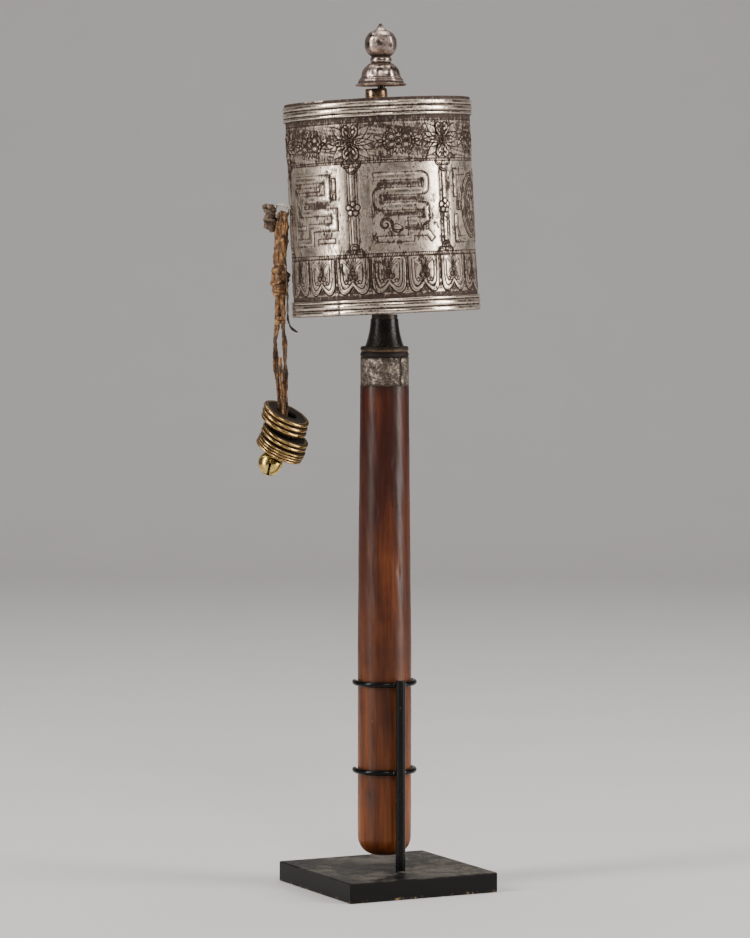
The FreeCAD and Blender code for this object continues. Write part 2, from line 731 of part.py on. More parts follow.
def upper_cord():
    """Loop through the eye, the knot beside it, the twisted bundle and the middle knot."""
    drop = D["loop_rise"] + D["loop_radius"]
    loop_frame = EYE_FRAME + " * " + shifted(z=-drop, turn="rotationy(90)")
    loop = torus("cord_loop", D["loop_radius"], D["loop_wire"], loop_frame)
    eye_level = (D["drum_foot"] - D["eye_reach"] * sine(D["drum_tilt"])
                 + D["eye_height"] * cosine(D["drum_tilt"]))
    bundle_top = eye_level - drop - D["loop_radius"] - D["loop_wire"]
    line_frame = WEIGHT_FRAME + " * " + shifted(x=D["cord_line"])
    bundle = cylinder("cord_bundle", D["bundle_radius"], bundle_top - D["bundle_low"],
                      line_frame + " * " + shifted(z=D["bundle_low"]))
    knot = turned("middle_knot", knot_outline(D["knot_low"], D["bundle_low"], D["knot_radius"]), line_frame)
    lump_low = D["lump_height"] - D["lump_half"]
    lump_high = D["lump_height"] + D["lump_half"]
    lump = turned("eye_knot", knot_outline(lump_low, lump_high, D["lump_radius"]),
                  WEIGHT_FRAME + " * " + shifted(x=D["lump_line"]))
    return [loop, bundle, knot, lump]


def lower_cord():
    """Bound stretch with a rounded top that turns under the middle knot, and the strands below it."""
    pivot, radius = D["wrap_pivot"], D["wrap_radius"]
    low = D["wrap_low"]
    outline = [(ZERO, low), (radius, low), (radius, pivot, radius, 1), (ZERO, pivot + radius)]
    pieces = [turned("cord_wrap", outline, WEIGHT_FRAME + " * " + shifted(x=D["cord_line"]))]
    for label, route in STRAND_ROUTES.items():
        pieces.append(tube_along(label, route, D["strand_radius"], WEIGHT_FRAME))
    return pieces


def cord_tail():
    return tube_along("cord_tail", TAIL_ROUTE, D["tail_radius"], WEIGHT_FRAME)


# ---------------------------------------------------------------------------------------------------
# Weights
# ---------------------------------------------------------------------------------------------------

def stack_frame(out, height):
    turn = "rotationy(-dims.weight_roll) * rotationx(-dims.weight_pitch)"
    return WEIGHT_FRAME + " * " + shifted(x=out, z=height, turn=turn)


def weight_washers():
    pieces = []
    hole = D["weight_hole"]
    for number, (thick, out, height) in enumerate(WEIGHTS, start=1):
        thick = as_dim(thick)
        half = thick / 2
        swell = D["weight_edge"] * thick
        edge = D["weight_radius"] - swell
        outline = [(hole, -half), (edge, -half, arc_radius(thick, swell), 1), (edge, half), (hole, half)]
        pieces.append(turned(f"weight_washer_{number}", outline, stack_frame(out, height)))
    return pieces


def leather_spacer():
    half = D["spacer_thick"] / 2
    outline = ring_outline(D["weight_hole"], D["spacer_radius"], -half, half)
    return turned("leather_spacer", outline, stack_frame(*SPACER))


def bell():
    """Round closed bell with a loop on its crown and three slots that meet in its mouth."""
    radius, wall = D["bell_radius"], D["bell_wall"]
    up, down = D["bell_up"], D["bell_down"]
    outer_up = arc_radius_of_quarter(radius, up)
    outer_down = arc_radius_of_quarter(radius, down)
    inner_up = arc_radius_of_quarter(radius - wall, up - wall)
    inner_down = arc_radius_of_quarter(radius - wall, down - wall)
    outline = [
        (ZERO, -down, outer_down, 1),
        (radius, ZERO, outer_up, 1),
        (ZERO, up),
        (ZERO, up - wall, inner_up, -1),
        (radius - wall, ZERO, inner_down, -1),
        (ZERO, -(down - wall)),
    ]
    shell = turned("bell_blank", outline, BELL_FRAME)
    loop_frame = BELL_FRAME + " * " + shifted(z=up + D["bell_loop_rise"], turn="rotationx(90)")
    loop = torus("bell_loop_wire", D["bell_loop"], D["eye_wire"], loop_frame)
    body = fused("bell_body", [shell, loop])
    slots = []
    for number in range(3):
        slot = doc.addObject("Part::Box", f"bell_slot_{number + 1}")
        slot.setExpression("Length", radius.text)
        slot.setExpression("Width", D["bell_slot"].text)
        slot.setExpression("Height", down.text)
        offset = shifted(y=-D["bell_slot"] / 2, z=-(D["bell_slot_top"] + down))
        place(slot, f"{BELL_FRAME} * {shifted(turn=f'rotationz({90 + 120 * number})')} * {offset}")
        slots.append(slot)
    return cut("bell", body, fused("bell_slots", slots))


def arc_radius_of_quarter(across, up):
    """Radius of the arc from a point on the axis to the belly, a little flatter than square to both."""
    chord_squared = across * across + up * up
    return Dim(math.sqrt(chord_squared.value), f"sqrt({chord_squared.text})") * D["bell_flank"]


def bell_pellet():
    pellet = doc.addObject("Part::Sphere", "bell_pellet")
    pellet.setExpression("Radius", D["pellet_radius"].text)
    rest = D["bell_down"] - D["bell_wall"] - D["pellet_radius"] - D["pellet_gap"]
    return place(pellet, BELL_FRAME + " * " + shifted(z=-rest))


# ---------------------------------------------------------------------------------------------------
# Build, check and write
# ---------------------------------------------------------------------------------------------------

def build():
    stand = [
        base_plate(),
        stand_rod(),
        clip("lower_clip", D["lower_clip_height"]),
        clip("upper_clip", D["upper_clip_height"]),
    ]
    handle = [
        handle_grip(),
        ferrule(),
        moulding_ring("lower_moulding_ring", D["ferrule_top"], D["ring_split"]),
        moulding_ring("upper_moulding_ring", D["ring_split"], D["ring_top"]),
        neck(),
        thrust_washer(),
        axle_solid("axle"),
    ]
    drum = [drum_shell(), bottom_rim(), top_rim(), *lids(), bottom_bush(), top_collar()]
    drum += [*drum_filling(), *drum_eye()]
    finial = [canopy_dome(), finial_neck_ring(), finial_bud()]
    cord = [*upper_cord(), *lower_cord(), cord_tail()]
    weight = [*weight_washers(), leather_spacer(), bell(), bell_pellet()]
    return stand + handle + drum + finial + cord + weight


def check(pieces):
    for item in doc.Objects:
        if any(word in item.State for word in ("Invalid", "Error")):
            raise RuntimeError(f"{item.Label} is {item.State}")
    for piece in pieces:
        if piece.Shape.isNull() or not piece.Shape.isValid():
            raise RuntimeError(f"{piece.Label} has no valid shape")


def write(pieces):
    os.makedirs("parts", exist_ok=True)
    for piece in pieces:
        piece.Shape.exportStep(f"parts/{piece.Label}.step")
        print(f"{piece.Label}: {len(piece.Shape.Solids)} solid, {piece.Shape.Volume:.2f} mm3")


model = build()
doc.recompute()
check(model)
write(model)
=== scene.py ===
import json
import math
from functools import reduce

import bpy
import numpy as np
from mathutils import Matrix, Vector


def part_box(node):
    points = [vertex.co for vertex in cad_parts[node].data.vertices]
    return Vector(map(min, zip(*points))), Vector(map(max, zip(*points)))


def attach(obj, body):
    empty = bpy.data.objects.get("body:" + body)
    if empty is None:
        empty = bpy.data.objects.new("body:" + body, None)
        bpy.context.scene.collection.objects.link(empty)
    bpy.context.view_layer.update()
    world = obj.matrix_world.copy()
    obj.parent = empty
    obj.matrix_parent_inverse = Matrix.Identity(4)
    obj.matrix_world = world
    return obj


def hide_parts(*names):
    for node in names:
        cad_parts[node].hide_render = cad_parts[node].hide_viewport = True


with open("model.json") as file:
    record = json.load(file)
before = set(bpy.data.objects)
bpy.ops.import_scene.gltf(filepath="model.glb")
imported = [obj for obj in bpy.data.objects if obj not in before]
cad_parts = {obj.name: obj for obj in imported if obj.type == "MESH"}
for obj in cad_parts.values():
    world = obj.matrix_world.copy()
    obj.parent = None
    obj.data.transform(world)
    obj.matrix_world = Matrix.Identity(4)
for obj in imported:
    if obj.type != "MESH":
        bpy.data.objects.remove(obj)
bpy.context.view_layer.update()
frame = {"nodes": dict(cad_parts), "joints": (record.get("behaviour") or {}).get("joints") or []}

# A prayer wheel in its display stand, in metres in the CAD's frame. Sizes of small features are written in
# millimetres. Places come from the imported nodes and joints.

MM = 0.001
TURN = 2 * math.pi
JOINTS = {joint["name"]: joint for joint in frame["joints"]}


# --- Frames of the moving bodies, read from the joints ---

def frame_of(origin, up, out):
    """Matrix whose Z is up, whose X is as near to out as it can be, with its origin at a point."""
    z = Vector(up).normalized()
    y = z.cross(Vector(out)).normalized()
    x = y.cross(z)
    matrix = Matrix((x, y, z)).transposed().to_4x4()
    matrix.translation = Vector(origin)
    return matrix


def centre_of(node):
    low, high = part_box(node)
    return (Vector(low) + Vector(high)) / 2


UP = Vector((0, 0, 1))
OUT = Vector(JOINTS["cord_sway"]["axis"])
GRIP = centre_of("ferrule")
AXIS = Vector((GRIP.x, GRIP.y, 0))
HANDLE = frame_of(AXIS, UP, OUT)
DRUM = frame_of(JOINTS["drum_spin"]["pos_m"], JOINTS["drum_spin"]["axis"], OUT)
NECK_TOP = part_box("neck")[1][2]
AXLE_UP = Vector(JOINTS["finial_lift"]["axis"])
AXLE = frame_of(AXIS + UP * NECK_TOP - AXLE_UP * NECK_TOP, AXLE_UP, OUT)
EYE = Vector(JOINTS["cord_swing"]["pos_m"])
WEIGHT_AZIMUTH = math.degrees(math.atan2(OUT.y, OUT.x))


def in_weight_frame(point):
    """Distance out, distance across and height of a point in the weight plane's frame."""
    return HANDLE.inverted() @ Vector(point)


# --- Camera ---

CAMERA_AZIMUTH = -26.6
CAMERA_PITCH = 3.51
CAMERA_DISTANCE = 1.66
CAMERA_HEIGHT = 0.27
CAMERA_SIDE = -0.0038
CAMERA_LENS = 159.3
SENSOR_WIDTH = 36
FAR_CLIP = 20


def camera():
    azimuth, pitch = math.radians(CAMERA_AZIMUTH), math.radians(CAMERA_PITCH)
    away = Vector((math.sin(azimuth), -math.cos(azimuth), 0))
    right = Vector((math.cos(azimuth), math.sin(azimuth), 0))
    data = bpy.data.cameras.new("camera")
    data.lens = CAMERA_LENS
    data.sensor_width = SENSOR_WIDTH
    data.clip_end = FAR_CLIP
    holder = bpy.data.objects.new("camera", data)
    holder.location = AXIS + away * CAMERA_DISTANCE + right * CAMERA_SIDE + UP * CAMERA_HEIGHT
    way = -away * math.cos(pitch) - UP * math.sin(pitch)
    holder.rotation_euler = way.to_track_quat("-Z", "Y").to_euler()
    bpy.context.scene.collection.objects.link(holder)
    bpy.context.scene.camera = holder
    return away, right


TOWARDS_CAMERA, CAMERA_RIGHT = camera()


# --- Materials ---

class Look:
    """A material being made: its nodes are added one by one, with values or sockets as inputs."""

    def __init__(self, name):
        self.material = bpy.data.materials.new(name)
        self.material.use_nodes = True
        self.nodes = self.material.node_tree.nodes
        self.links = self.material.node_tree.links
        self.nodes.clear()
        self.shader = self.nodes.new("ShaderNodeBsdfPrincipled")
        output = self.nodes.new("ShaderNodeOutputMaterial")
        self.links.new(self.shader.outputs[0], output.inputs["Surface"])
        self.coordinates = self.nodes.new("ShaderNodeTexCoord").outputs["Object"]

    def put(self, socket, value):
        if isinstance(value, bpy.types.NodeSocket):
            self.links.new(value, socket)
        elif isinstance(value, tuple) and len(value) == 3 and socket.type == "RGBA":
            socket.default_value = (*value, 1)
        else:
            socket.default_value = value

    def set(self, **inputs):
        for name, value in inputs.items():
            self.put(self.shader.inputs[name.replace("_", " ").title().replace("Ior", "IOR")], value)

    def stretched(self, stretch):
        mapping = self.nodes.new("ShaderNodeMapping")
        self.put(mapping.inputs["Vector"], self.coordinates)
        mapping.inputs["Scale"].default_value = stretch
        return mapping.outputs[0]

    def noise(self, size, detail=4.0, roughness=0.55, stretch=(1, 1, 1), distortion=0.0):
        """Noise whose features are about size millimetres across, divided by stretch along each axis."""
        node = self.nodes.new("ShaderNodeTexNoise")
        self.put(node.inputs["Vector"], self.stretched(stretch))
        node.inputs["Scale"].default_value = 1 / (size * MM)
        node.inputs["Detail"].default_value = detail
        node.inputs["Roughness"].default_value = roughness
        node.inputs["Distortion"].default_value = distortion
        return node.outputs["Fac"]

    def cells(self, size, stretch=(1, 1, 1)):
        """Distance to the nearest of scattered points about size millimetres apart."""
        node = self.nodes.new("ShaderNodeTexVoronoi")
        self.put(node.inputs["Vector"], self.stretched(stretch))
        node.inputs["Scale"].default_value = 1 / (size * MM)
        return node.outputs["Distance"]

    def attribute(self, name):
        node = self.nodes.new("ShaderNodeAttribute")
        node.attribute_name = name
        return node.outputs["Fac"]

    def height(self):
        node = self.nodes.new("ShaderNodeSeparateXYZ")
        self.put(node.inputs[0], self.coordinates)
        return node.outputs["Z"]

    def facing_up(self):
        geometry = self.nodes.new("ShaderNodeNewGeometry")
        node = self.nodes.new("ShaderNodeSeparateXYZ")
        self.put(node.inputs[0], geometry.outputs["Normal"])
        return node.outputs["Z"]

    def span(self, value, low, high, start=0.0, end=1.0):
        """Value mapped from low..high to start..end and kept inside it."""
        node = self.nodes.new("ShaderNodeMapRange")
        for name, item in zip(("Value", "From Min", "From Max", "To Min", "To Max"),
                              (value, low, high, start, end)):
            self.put(node.inputs[name], item)
        return node.outputs[0]

    def spots(self, size, low, high, start=0.0, end=1.0, **options):
        """Noise mapped from low..high to start..end, so that it comes as spots with soft edges."""
        return self.span(self.noise(size, **options), low, high, start, end)

    def maths(self, operation, first, second):
        node = self.nodes.new("ShaderNodeMath")
        node.operation = operation
        node.use_clamp = True
        self.put(node.inputs[0], first)
        self.put(node.inputs[1], second)
        return node.outputs[0]

    def times(self, *values):
        """Product of values, kept from 0 to 1."""
        return reduce(lambda first, second: self.maths("MULTIPLY", first, second), values)

    def plus(self, *values):
        """Sum of values, kept from 0 to 1."""
        return reduce(lambda first, second: self.maths("ADD", first, second), values)

    def mix(self, share, first, second):
        node = self.nodes.new("ShaderNodeMix")
        node.data_type = "RGBA"
        self.put(node.inputs["Factor"], share)
        self.put(node.inputs[6], first)
        self.put(node.inputs[7], second)
        return node.outputs[2]

    def ramp(self, value, *stops):
        node = self.nodes.new("ShaderNodeValToRGB")
        elements = node.color_ramp.elements
        while len(elements) < len(stops):
            elements.new(0.5)
        for element, (place, colour) in zip(elements, stops):
            element.position = place
            element.color = (*colour, 1)
        self.put(node.inputs[0], value)
        return node.outputs[0]

    def bump(self, depth, height, normal=None):
        """Normal of a surface that rises by depth millimetres where height is 1."""
        node = self.nodes.new("ShaderNodeBump")
        node.inputs["Strength"].default_value = 1.0
        node.inputs["Distance"].default_value = depth * MM
        self.put(node.inputs["Height"], height)
        if normal is not None:
            self.put(node.inputs["Normal"], normal)
        return node.outputs[0]


SILVER = (0.94, 0.81, 0.69)
DULL_SILVER = (0.68, 0.56, 0.46)
PATINA = (0.043, 0.020, 0.012)
DEEP_PATINA = (0.011, 0.0065, 0.005)


def silver_look(name, tarnish=0.0, shine=0.20, patches=1.0, clean=(SILVER, DULL_SILVER)):
    """Worn silver: clean on what stands out, brown where it is recessed, with drawn-out rubbing marks."""
    look = Look(name)
    blotches = look.spots(8, 0.47, 0.60, detail=6, roughness=0.7, stretch=(1, 1, 0.7))
    grain = look.spots(0.8, 0.40, 0.60, detail=5, roughness=0.78, stretch=(1, 1, 0.4))
    specks = look.spots(0.55, 0.645, 0.68, detail=2, stretch=(1, 1, 0.6))
    # The stain attribute gives patina and dirt and, under the canopy, painted shade.
    dirt = look.times(look.attribute("stain"), look.span(grain, 0, 1, 0.85, 1.35))
    film = look.plus(look.times(blotches, grain, patches), look.times(specks, 0.6), tarnish, dirt)
    bright = look.mix(look.spots(4, 0.35, 0.65, detail=4), *clean)
    brown = look.mix(look.spots(0.8, 0.4, 0.6, detail=4), PATINA, DEEP_PATINA)
    scratches = look.bump(0.014, look.noise(0.5, detail=3, stretch=(1, 1, 0.06)))
    normal = look.bump(0.06, look.noise(2.2, detail=3), scratches)
    look.set(base_color=look.mix(film, bright, brown), metallic=look.span(film, 0.3, 1.0, 1.0, 0.35),
             roughness=look.span(film, 0.0, 1.0, shine, 0.66), normal=normal)
    return look.material


def line_look():
    """The dirt in an engraved line."""
    look = Look("engraved_line")
    dirt = look.mix(look.spots(1.2, 0.35, 0.7, detail=4), (0.010, 0.006, 0.005), (0.045, 0.027, 0.020))
    look.set(base_color=dirt, roughness=0.8, specular_ior_level=0.08, normal=look.bump(0.02, look.noise(0.3)))
    return look.material


def ferrule_look():
    """Thin silver, pitted all over, with black in the pits and wide brown patches."""
    look = Look("pitted_silver")
    pits = look.span(look.cells(1.0), 0.16, 0.45)
    patches = look.spots(2.6, 0.40, 0.52, detail=6, roughness=0.75)
    dirt = look.plus(look.times(patches, 0.85), look.attribute("stain"))
    clean = look.mix(look.spots(0.9, 0.35, 0.65), (0.46, 0.40, 0.33), (0.17, 0.135, 0.105))
    brown = look.mix(look.spots(0.7, 0.4, 0.6), (0.045, 0.028, 0.018), (0.010, 0.007, 0.006))
    normal = look.bump(0.14, pits)
    normal = look.bump(0.16, look.noise(0.7, detail=5), normal)
    look.set(base_color=look.mix(dirt, clean, brown), metallic=look.span(dirt, 0.2, 1.0, 1.0, 0.3),
             roughness=look.span(dirt, 0.0, 1.0, 0.30, 0.70), normal=normal)
    return look.material


def wood_look():
    """Dark polished hardwood with fine upright grain: near black and red above, warmer at the foot."""
    look = Look("grip_wood")
    pores = look.noise(0.8, detail=6, roughness=0.65, stretch=(1, 1, 0.03))
    figure = look.noise(7.0, detail=4, stretch=(1, 1, 0.10), distortion=0.8)
    dark = look.ramp(figure, (0.32, (0.014, 0.0032, 0.0022)), (0.52, (0.040, 0.0080, 0.0038)),
                     (0.72, (0.095, 0.022, 0.0085)))
    warm = look.ramp(figure, (0.32, (0.080, 0.020, 0.0045)), (0.52, (0.150, 0.040, 0.0085)),
                     (0.72, (0.25, 0.078, 0.017)))
    low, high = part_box("handle_grip")
    rise = look.span(look.height(), low[2] + 0.015, high[2] - 0.035)
    rise = look.plus(rise, look.spots(20, 0.42, 0.75, 0.0, 0.45, detail=3))
    colour = look.mix(rise, warm, dark)
    fibres = look.span(pores, 0.44, 0.62)
    colour = look.mix(look.times(fibres, 0.35), colour, (0.012, 0.004, 0.003))
    wear = look.spots(2.4, 0.67, 0.73, detail=5, roughness=0.75, stretch=(1, 1, 0.4))
    colour = look.mix(look.times(wear, 0.55), colour, (0.30, 0.11, 0.035))
    dents = look.spots(0.7, 0.69, 0.75, detail=2, stretch=(1, 1, 0.7))
    colour = look.mix(look.times(dents, 0.7), colour, (0.008, 0.004, 0.003))
    colour = look.mix(look.attribute("stain"), colour, (0.014, 0.005, 0.0035))
    normal = look.bump(0.07, pores)
    normal = look.bump(0.09, look.noise(2.6, detail=3, stretch=(1, 1, 0.5)), normal)
    look.set(base_color=colour, roughness=look.spots(1.6, 0.3, 0.7, 0.30, 0.46, detail=4),
             coat_weight=0.08, coat_roughness=0.16, specular_ior_level=0.22, normal=normal)
    return look.material


def horn_look():
    """Polished black horn with small pale scuffs in places."""
    look = Look("black_horn")
    scuffs = look.spots(0.9, 0.56, 0.66, detail=6, roughness=0.8, stretch=(1, 1, 0.5))
    where = look.spots(6, 0.45, 0.6, detail=2)
    scuffs = look.times(scuffs, where)
    colour = look.mix(look.times(scuffs, 0.7), (0.004, 0.0032, 0.003), (0.15, 0.12, 0.10))
    look.set(base_color=colour, roughness=look.span(scuffs, 0.0, 1.0, 0.26, 0.6), specular_ior_level=0.3,
             normal=look.bump(0.12, look.noise(0.9, detail=5)))
    return look.material


def brass_look(name, bright, dull, dirt, share, shine):
    """Old brass or bronze: bright where it is rubbed, dull and dirty where it isn't."""
    look = Look(name)
    worn = look.spots(1.8, 0.38, 0.68, detail=5, roughness=0.65)
    grime = look.spots(0.7, 0.66 - 0.2 * share, 0.86 - 0.2 * share, detail=4, roughness=0.7)
    # The stain attribute adds dirt and, on the washers, painted shade in their gaps.
    grime = look.plus(grime, look.attribute("stain"))
    colour = look.mix(grime, look.mix(worn, bright, dull), dirt)
    look.set(base_color=colour, metallic=look.span(grime, 0.2, 1.0, 1.0, 0.5),
             roughness=look.span(grime, 0.0, 1.0, shine, 0.65),
             normal=look.bump(0.03, look.noise(0.6, detail=4)))
    return look.material


def hide_look(name, dark, middle, light):
    """Hide cord: mottled tan and dark brown, dry and wrinkled along its length."""
    look = Look(name)
    tone = look.noise(1.9, detail=6, roughness=0.75, stretch=(1, 1, 0.5))
    fibre = look.noise(0.32, detail=4, roughness=0.7, stretch=(1, 1, 0.45))
    colour = look.ramp(tone, (0.38, dark), (0.50, middle), (0.61, light))
    colour = look.mix(look.span(fibre, 0.46, 0.62, 0.0, 0.75), colour, dark)
    grime = look.spots(3.6, 0.53, 0.63, 0.0, 0.9, detail=5, roughness=0.72)
    colour = look.mix(grime, colour, (0.020, 0.012, 0.008))
    colour = look.mix(look.attribute("stain"), colour, (0.008, 0.006, 0.005))
    normal = look.bump(0.22, look.noise(0.7, detail=5, roughness=0.7, stretch=(1, 1, 0.5)))
    normal = look.bump(0.07, fibre, normal)
    look.set(base_color=colour, roughness=look.span(tone, 0.3, 0.7, 0.70, 0.46), specular_ior_level=0.4,
             normal=normal)
    return look.material


def stand_look():
    """Satin black paint, with specks rubbed through to brown metal."""
    look = Look("stand_black")
    grain = look.noise(0.5, detail=4)
    colour = look.mix(grain, (0.0022, 0.0022, 0.0026), (0.0060, 0.0058, 0.0058))
    rubbed = look.plus(look.spots(0.8, 0.70, 0.73, detail=3), look.attribute("stain"))
    colour = look.mix(rubbed, colour, (0.30, 0.15, 0.07))
    look.set(base_color=colour, metallic=look.times(rubbed, 0.8),
             roughness=look.span(grain, 0.3, 0.7, 0.16, 0.24), specular_ior_level=0.14,
             normal=look.bump(0.012, grain))
    return look.material


def base_look():
    """Satin black paint with dust on its top, wiped away in places, and small chips along the foot."""
    look = Look("base_black")
    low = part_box("stand_base")[0]
    grain = look.noise(0.7, detail=5)
    colour = look.mix(grain, (0.0030, 0.0030, 0.0034), (0.0080, 0.0075, 0.0075))
    drift = look.spots(14, 0.43, 0.57, detail=6, roughness=0.7)
    fluff = look.spots(0.55, 0.44, 0.56, 0.05, 1.0, detail=4, roughness=0.8)
    top = look.span(look.facing_up(), 0.6, 0.95)
    dust = look.times(drift, fluff, top)
    colour = look.mix(dust, colour, (0.165, 0.148, 0.132))
    near_foot = look.span(look.height(), low[2] + 1.3 * MM, low[2] + 0.2 * MM)
    chips = look.times(look.spots(1.4, 0.60, 0.64, detail=4), near_foot)
    colour = look.mix(chips, colour, (0.34, 0.23, 0.12))
    look.set(base_color=colour, roughness=look.span(dust, 0.0, 0.5, 0.34, 0.9), specular_ior_level=0.12,
             normal=look.bump(0.03, look.noise(0.35, detail=3)))
    return look.material


def cloth_look(name, colour):
    """Plain woven cloth, unevenly faded."""
    look = Look(name)
    weave = look.cells(0.5, stretch=(1, 1, 1.6))
    tone = look.mix(look.noise(8, detail=4), colour, tuple(part * 0.55 for part in colour))
    look.set(base_color=tone, roughness=0.85, sheen_weight=0.2, normal=look.bump(0.1, weave))
    return look.material


def paper_look():
    """Aged paper whose wound layers show at its ends."""
    look = Look("aged_paper")
    layers = look.noise(0.3, detail=2, stretch=(1, 1, 0.02))
    tone = look.ramp(look.noise(10, detail=5), (0.3, (0.42, 0.30, 0.16)), (0.7, (0.66, 0.53, 0.34)))
    look.set(base_color=tone, roughness=0.8, normal=look.bump(0.08, layers))
    return look.material


def floor_look():
    """Pale matt grey, very slightly uneven."""
    look = Look("pale_floor")
    tone = look.mix(look.noise(60, detail=3), (0.60, 0.60, 0.605), (0.64, 0.64, 0.645))
    look.set(base_color=tone, roughness=0.55, specular_ior_level=0.25)
    return look.material


# Clean colours of the finial's silver: tarnished, and darkened further as a painted dark reflection of its
# surroundings.
TARNISH_AND_DARK_REFLECTION = ((0.62, 0.50, 0.45), (0.30, 0.225, 0.20))

# Bright, dull and dirty colours, share of grime, and roughness where it is clean.
BRASSES = {
    "dark_ring": ((0.075, 0.048, 0.034), (0.030, 0.019, 0.014), (0.006, 0.004, 0.004), 0.7, 0.28),
    "gilt_ring": ((0.15, 0.10, 0.06), (0.06, 0.038, 0.024), (0.010, 0.007, 0.005), 0.8, 0.28),
    "collar_brass": ((0.40, 0.26, 0.16), (0.14, 0.078, 0.042), (0.012, 0.007, 0.005), 0.8, 0.22),
    "washer_bronze": ((0.56, 0.36, 0.14), (0.20, 0.12, 0.045), (0.012, 0.007, 0.004), 0.55, 0.2),
    "bell_brass": ((0.80, 0.60, 0.20), (0.42, 0.285, 0.075), (0.030, 0.018, 0.010), 0.6, 0.20),
    "iron": ((0.060, 0.050, 0.044), (0.024, 0.019, 0.017), (0.010, 0.007, 0.006), 0.7, 0.4),
    "eye_wire": ((0.85, 0.80, 0.74), (0.45, 0.39, 0.34), (0.05, 0.032, 0.022), 0.3, 0.2),
}

# Dark, middle and light colours.
HIDES = {
    "hide": ((0.030, 0.014, 0.007), (0.20, 0.090, 0.030), (0.50, 0.285, 0.115)),
    "hide_grey": ((0.022, 0.014, 0.010), (0.115, 0.072, 0.044), (0.31, 0.22, 0.145)),
    "hide_brown": ((0.016, 0.008, 0.004), (0.100, 0.042, 0.015), (0.27, 0.135, 0.055)),
    # Near-black hide of the spacer, which also paints the shade in the gap between washer groups.
    "hide_dark": ((0.010, 0.006, 0.004), (0.032, 0.018, 0.011), (0.085, 0.052, 0.030)),
}

LOOKS = {
    "silver": silver_look("chased_silver"),
    "rim_silver": silver_look("rim_silver", shine=0.15, patches=0.6),
    "finial_silver": silver_look("finial_silver", tarnish=0.13, shine=0.12, patches=0.65, clean=TARNISH_AND_DARK_REFLECTION),
    "plain_silver": silver_look("plain_silver", tarnish=0.3, shine=0.34),
    "line": line_look(),
    "ferrule": ferrule_look(),
    "wood": wood_look(),
    "horn": horn_look(),
    "stand": stand_look(),
    "base": base_look(),
    "cloth": cloth_look("scroll_cloth", (0.42, 0.10, 0.06)),
    "thread": cloth_look("tie_thread", (0.50, 0.33, 0.10)),
    "paper": paper_look(),
    "floor": floor_look(),
    **{name: brass_look(name, *values) for name, values in BRASSES.items()},
    **{name: hide_look(name, *colours) for name, colours in HIDES.items()},
}


# --- Mesh building ---

def unit(value):
    """Value kept from 0 to 1."""
    return np.clip(value, 0, 1)


def hump(value, centre, width):
    """1 where value is at the centre, falling smoothly to nothing on both sides."""
    return np.exp(-((value - centre) / width) ** 2)


def turn_from(start, angle):
    """Angles measured from a start, within half a turn to either side."""
    return np.angle(np.exp(1j * (angle - start)))


def mesh_piece(name, points, faces, look, sharp=None, stain=None):
    """Mesh object of points in the row frame, smooth except at edges sharper than an angle in degrees."""
    mesh = bpy.data.meshes.new(name)
    mesh.from_pydata([tuple(point) for point in np.asarray(points).tolist()], [], faces)
    mesh.shade_smooth()
    if sharp is not None:
        mesh.set_sharp_from_angle(angle=math.radians(sharp))
    # The stain attribute holds dirt and, on some pieces, painted shade.
    if stain is not None:
        layer = mesh.attributes.new("stain", "FLOAT", "POINT")
        layer.data.foreach_set("value", np.asarray(stain, dtype=np.float32).ravel())
    mesh.materials.append(LOOKS[look])
    piece = bpy.data.objects.new(name, mesh)
    bpy.context.scene.collection.objects.link(piece)
    return piece


def belongs(piece, body, slot, *nodes):
    """The piece rides on a body and stands for CAD nodes, which it hides. The slot is not used."""
    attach(piece, body)
    if nodes:
        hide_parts(*nodes)
    return piece


def placed(matrix, points):
    """Points in millimetres in a frame, as metres in the row frame."""
    matrix = np.array(matrix)
    return np.asarray(points) * MM @ matrix[:3, :3].T + matrix[:3, 3]


def grid_faces(rows, columns, closed=True, first=0):
    """Quads of a grid of points, row by row, joined round its columns where it is closed."""
    faces = []
    for row in range(rows - 1):
        start = first + row * columns
        for column in range(columns if closed else columns - 1):
            after = (column + 1) % columns
            faces.append((start + column, start + after, start + columns + after, start + columns + column))
    return faces


def lathe(name, matrix, profile, look, steps=192, change=None, stain=None, closed=False, sharp=40):
    """A turned piece. profile is (radius, height) in millimetres from the bottom outward and up.

    change(radius, height, angle) gives the new radius and height, and the stain function the dirt and, on
    some pieces, painted shade.
    """
    profile = np.array(profile, dtype=float)
    if closed:
        profile = np.vstack([profile, profile[:1]])
    angle = np.linspace(0, TURN, steps, endpoint=False)
    radius = np.repeat(profile[:, :1], steps, axis=1)
    height = np.repeat(profile[:, 1:], steps, axis=1)
    angles = np.repeat(angle[None], len(profile), axis=0)
    # The stain function gives dirt and, on some pieces, painted shade.
    dirt = np.zeros_like(radius) if stain is None else stain(radius, height, angles)
    if change is not None:
        radius, height = change(radius, height, angles)
    points = np.stack([radius * np.cos(angles), radius * np.sin(angles), height], axis=-1)
    rows = len(profile)
    faces = grid_faces(rows, steps)
    if closed:
        points = points[:-1]
        dirt = dirt[:-1]
        last = (rows - 2) * steps
        faces = [tuple(i if i < last + steps else i - last - steps for i in face) for face in faces]
    return mesh_piece(name, placed(matrix, points.reshape(-1, 3)), faces, look, sharp, dirt)


def waves(a, b, seed, sizes=(1.0, 2.3, 3.7, 5.9)):
    """Smooth unevenness from -1 to 1 over two coordinates, repeating round a full turn of the first."""
    rng = np.random.default_rng(seed)
    total = np.zeros_like(a)
    for size in sizes:
        turns = max(1, round(size * rng.uniform(1.5, 3.0)))
        total += np.sin(turns * a + size * b * rng.uniform(0.7, 1.3) + rng.uniform(0, 6.28)) / len(sizes)
    return total


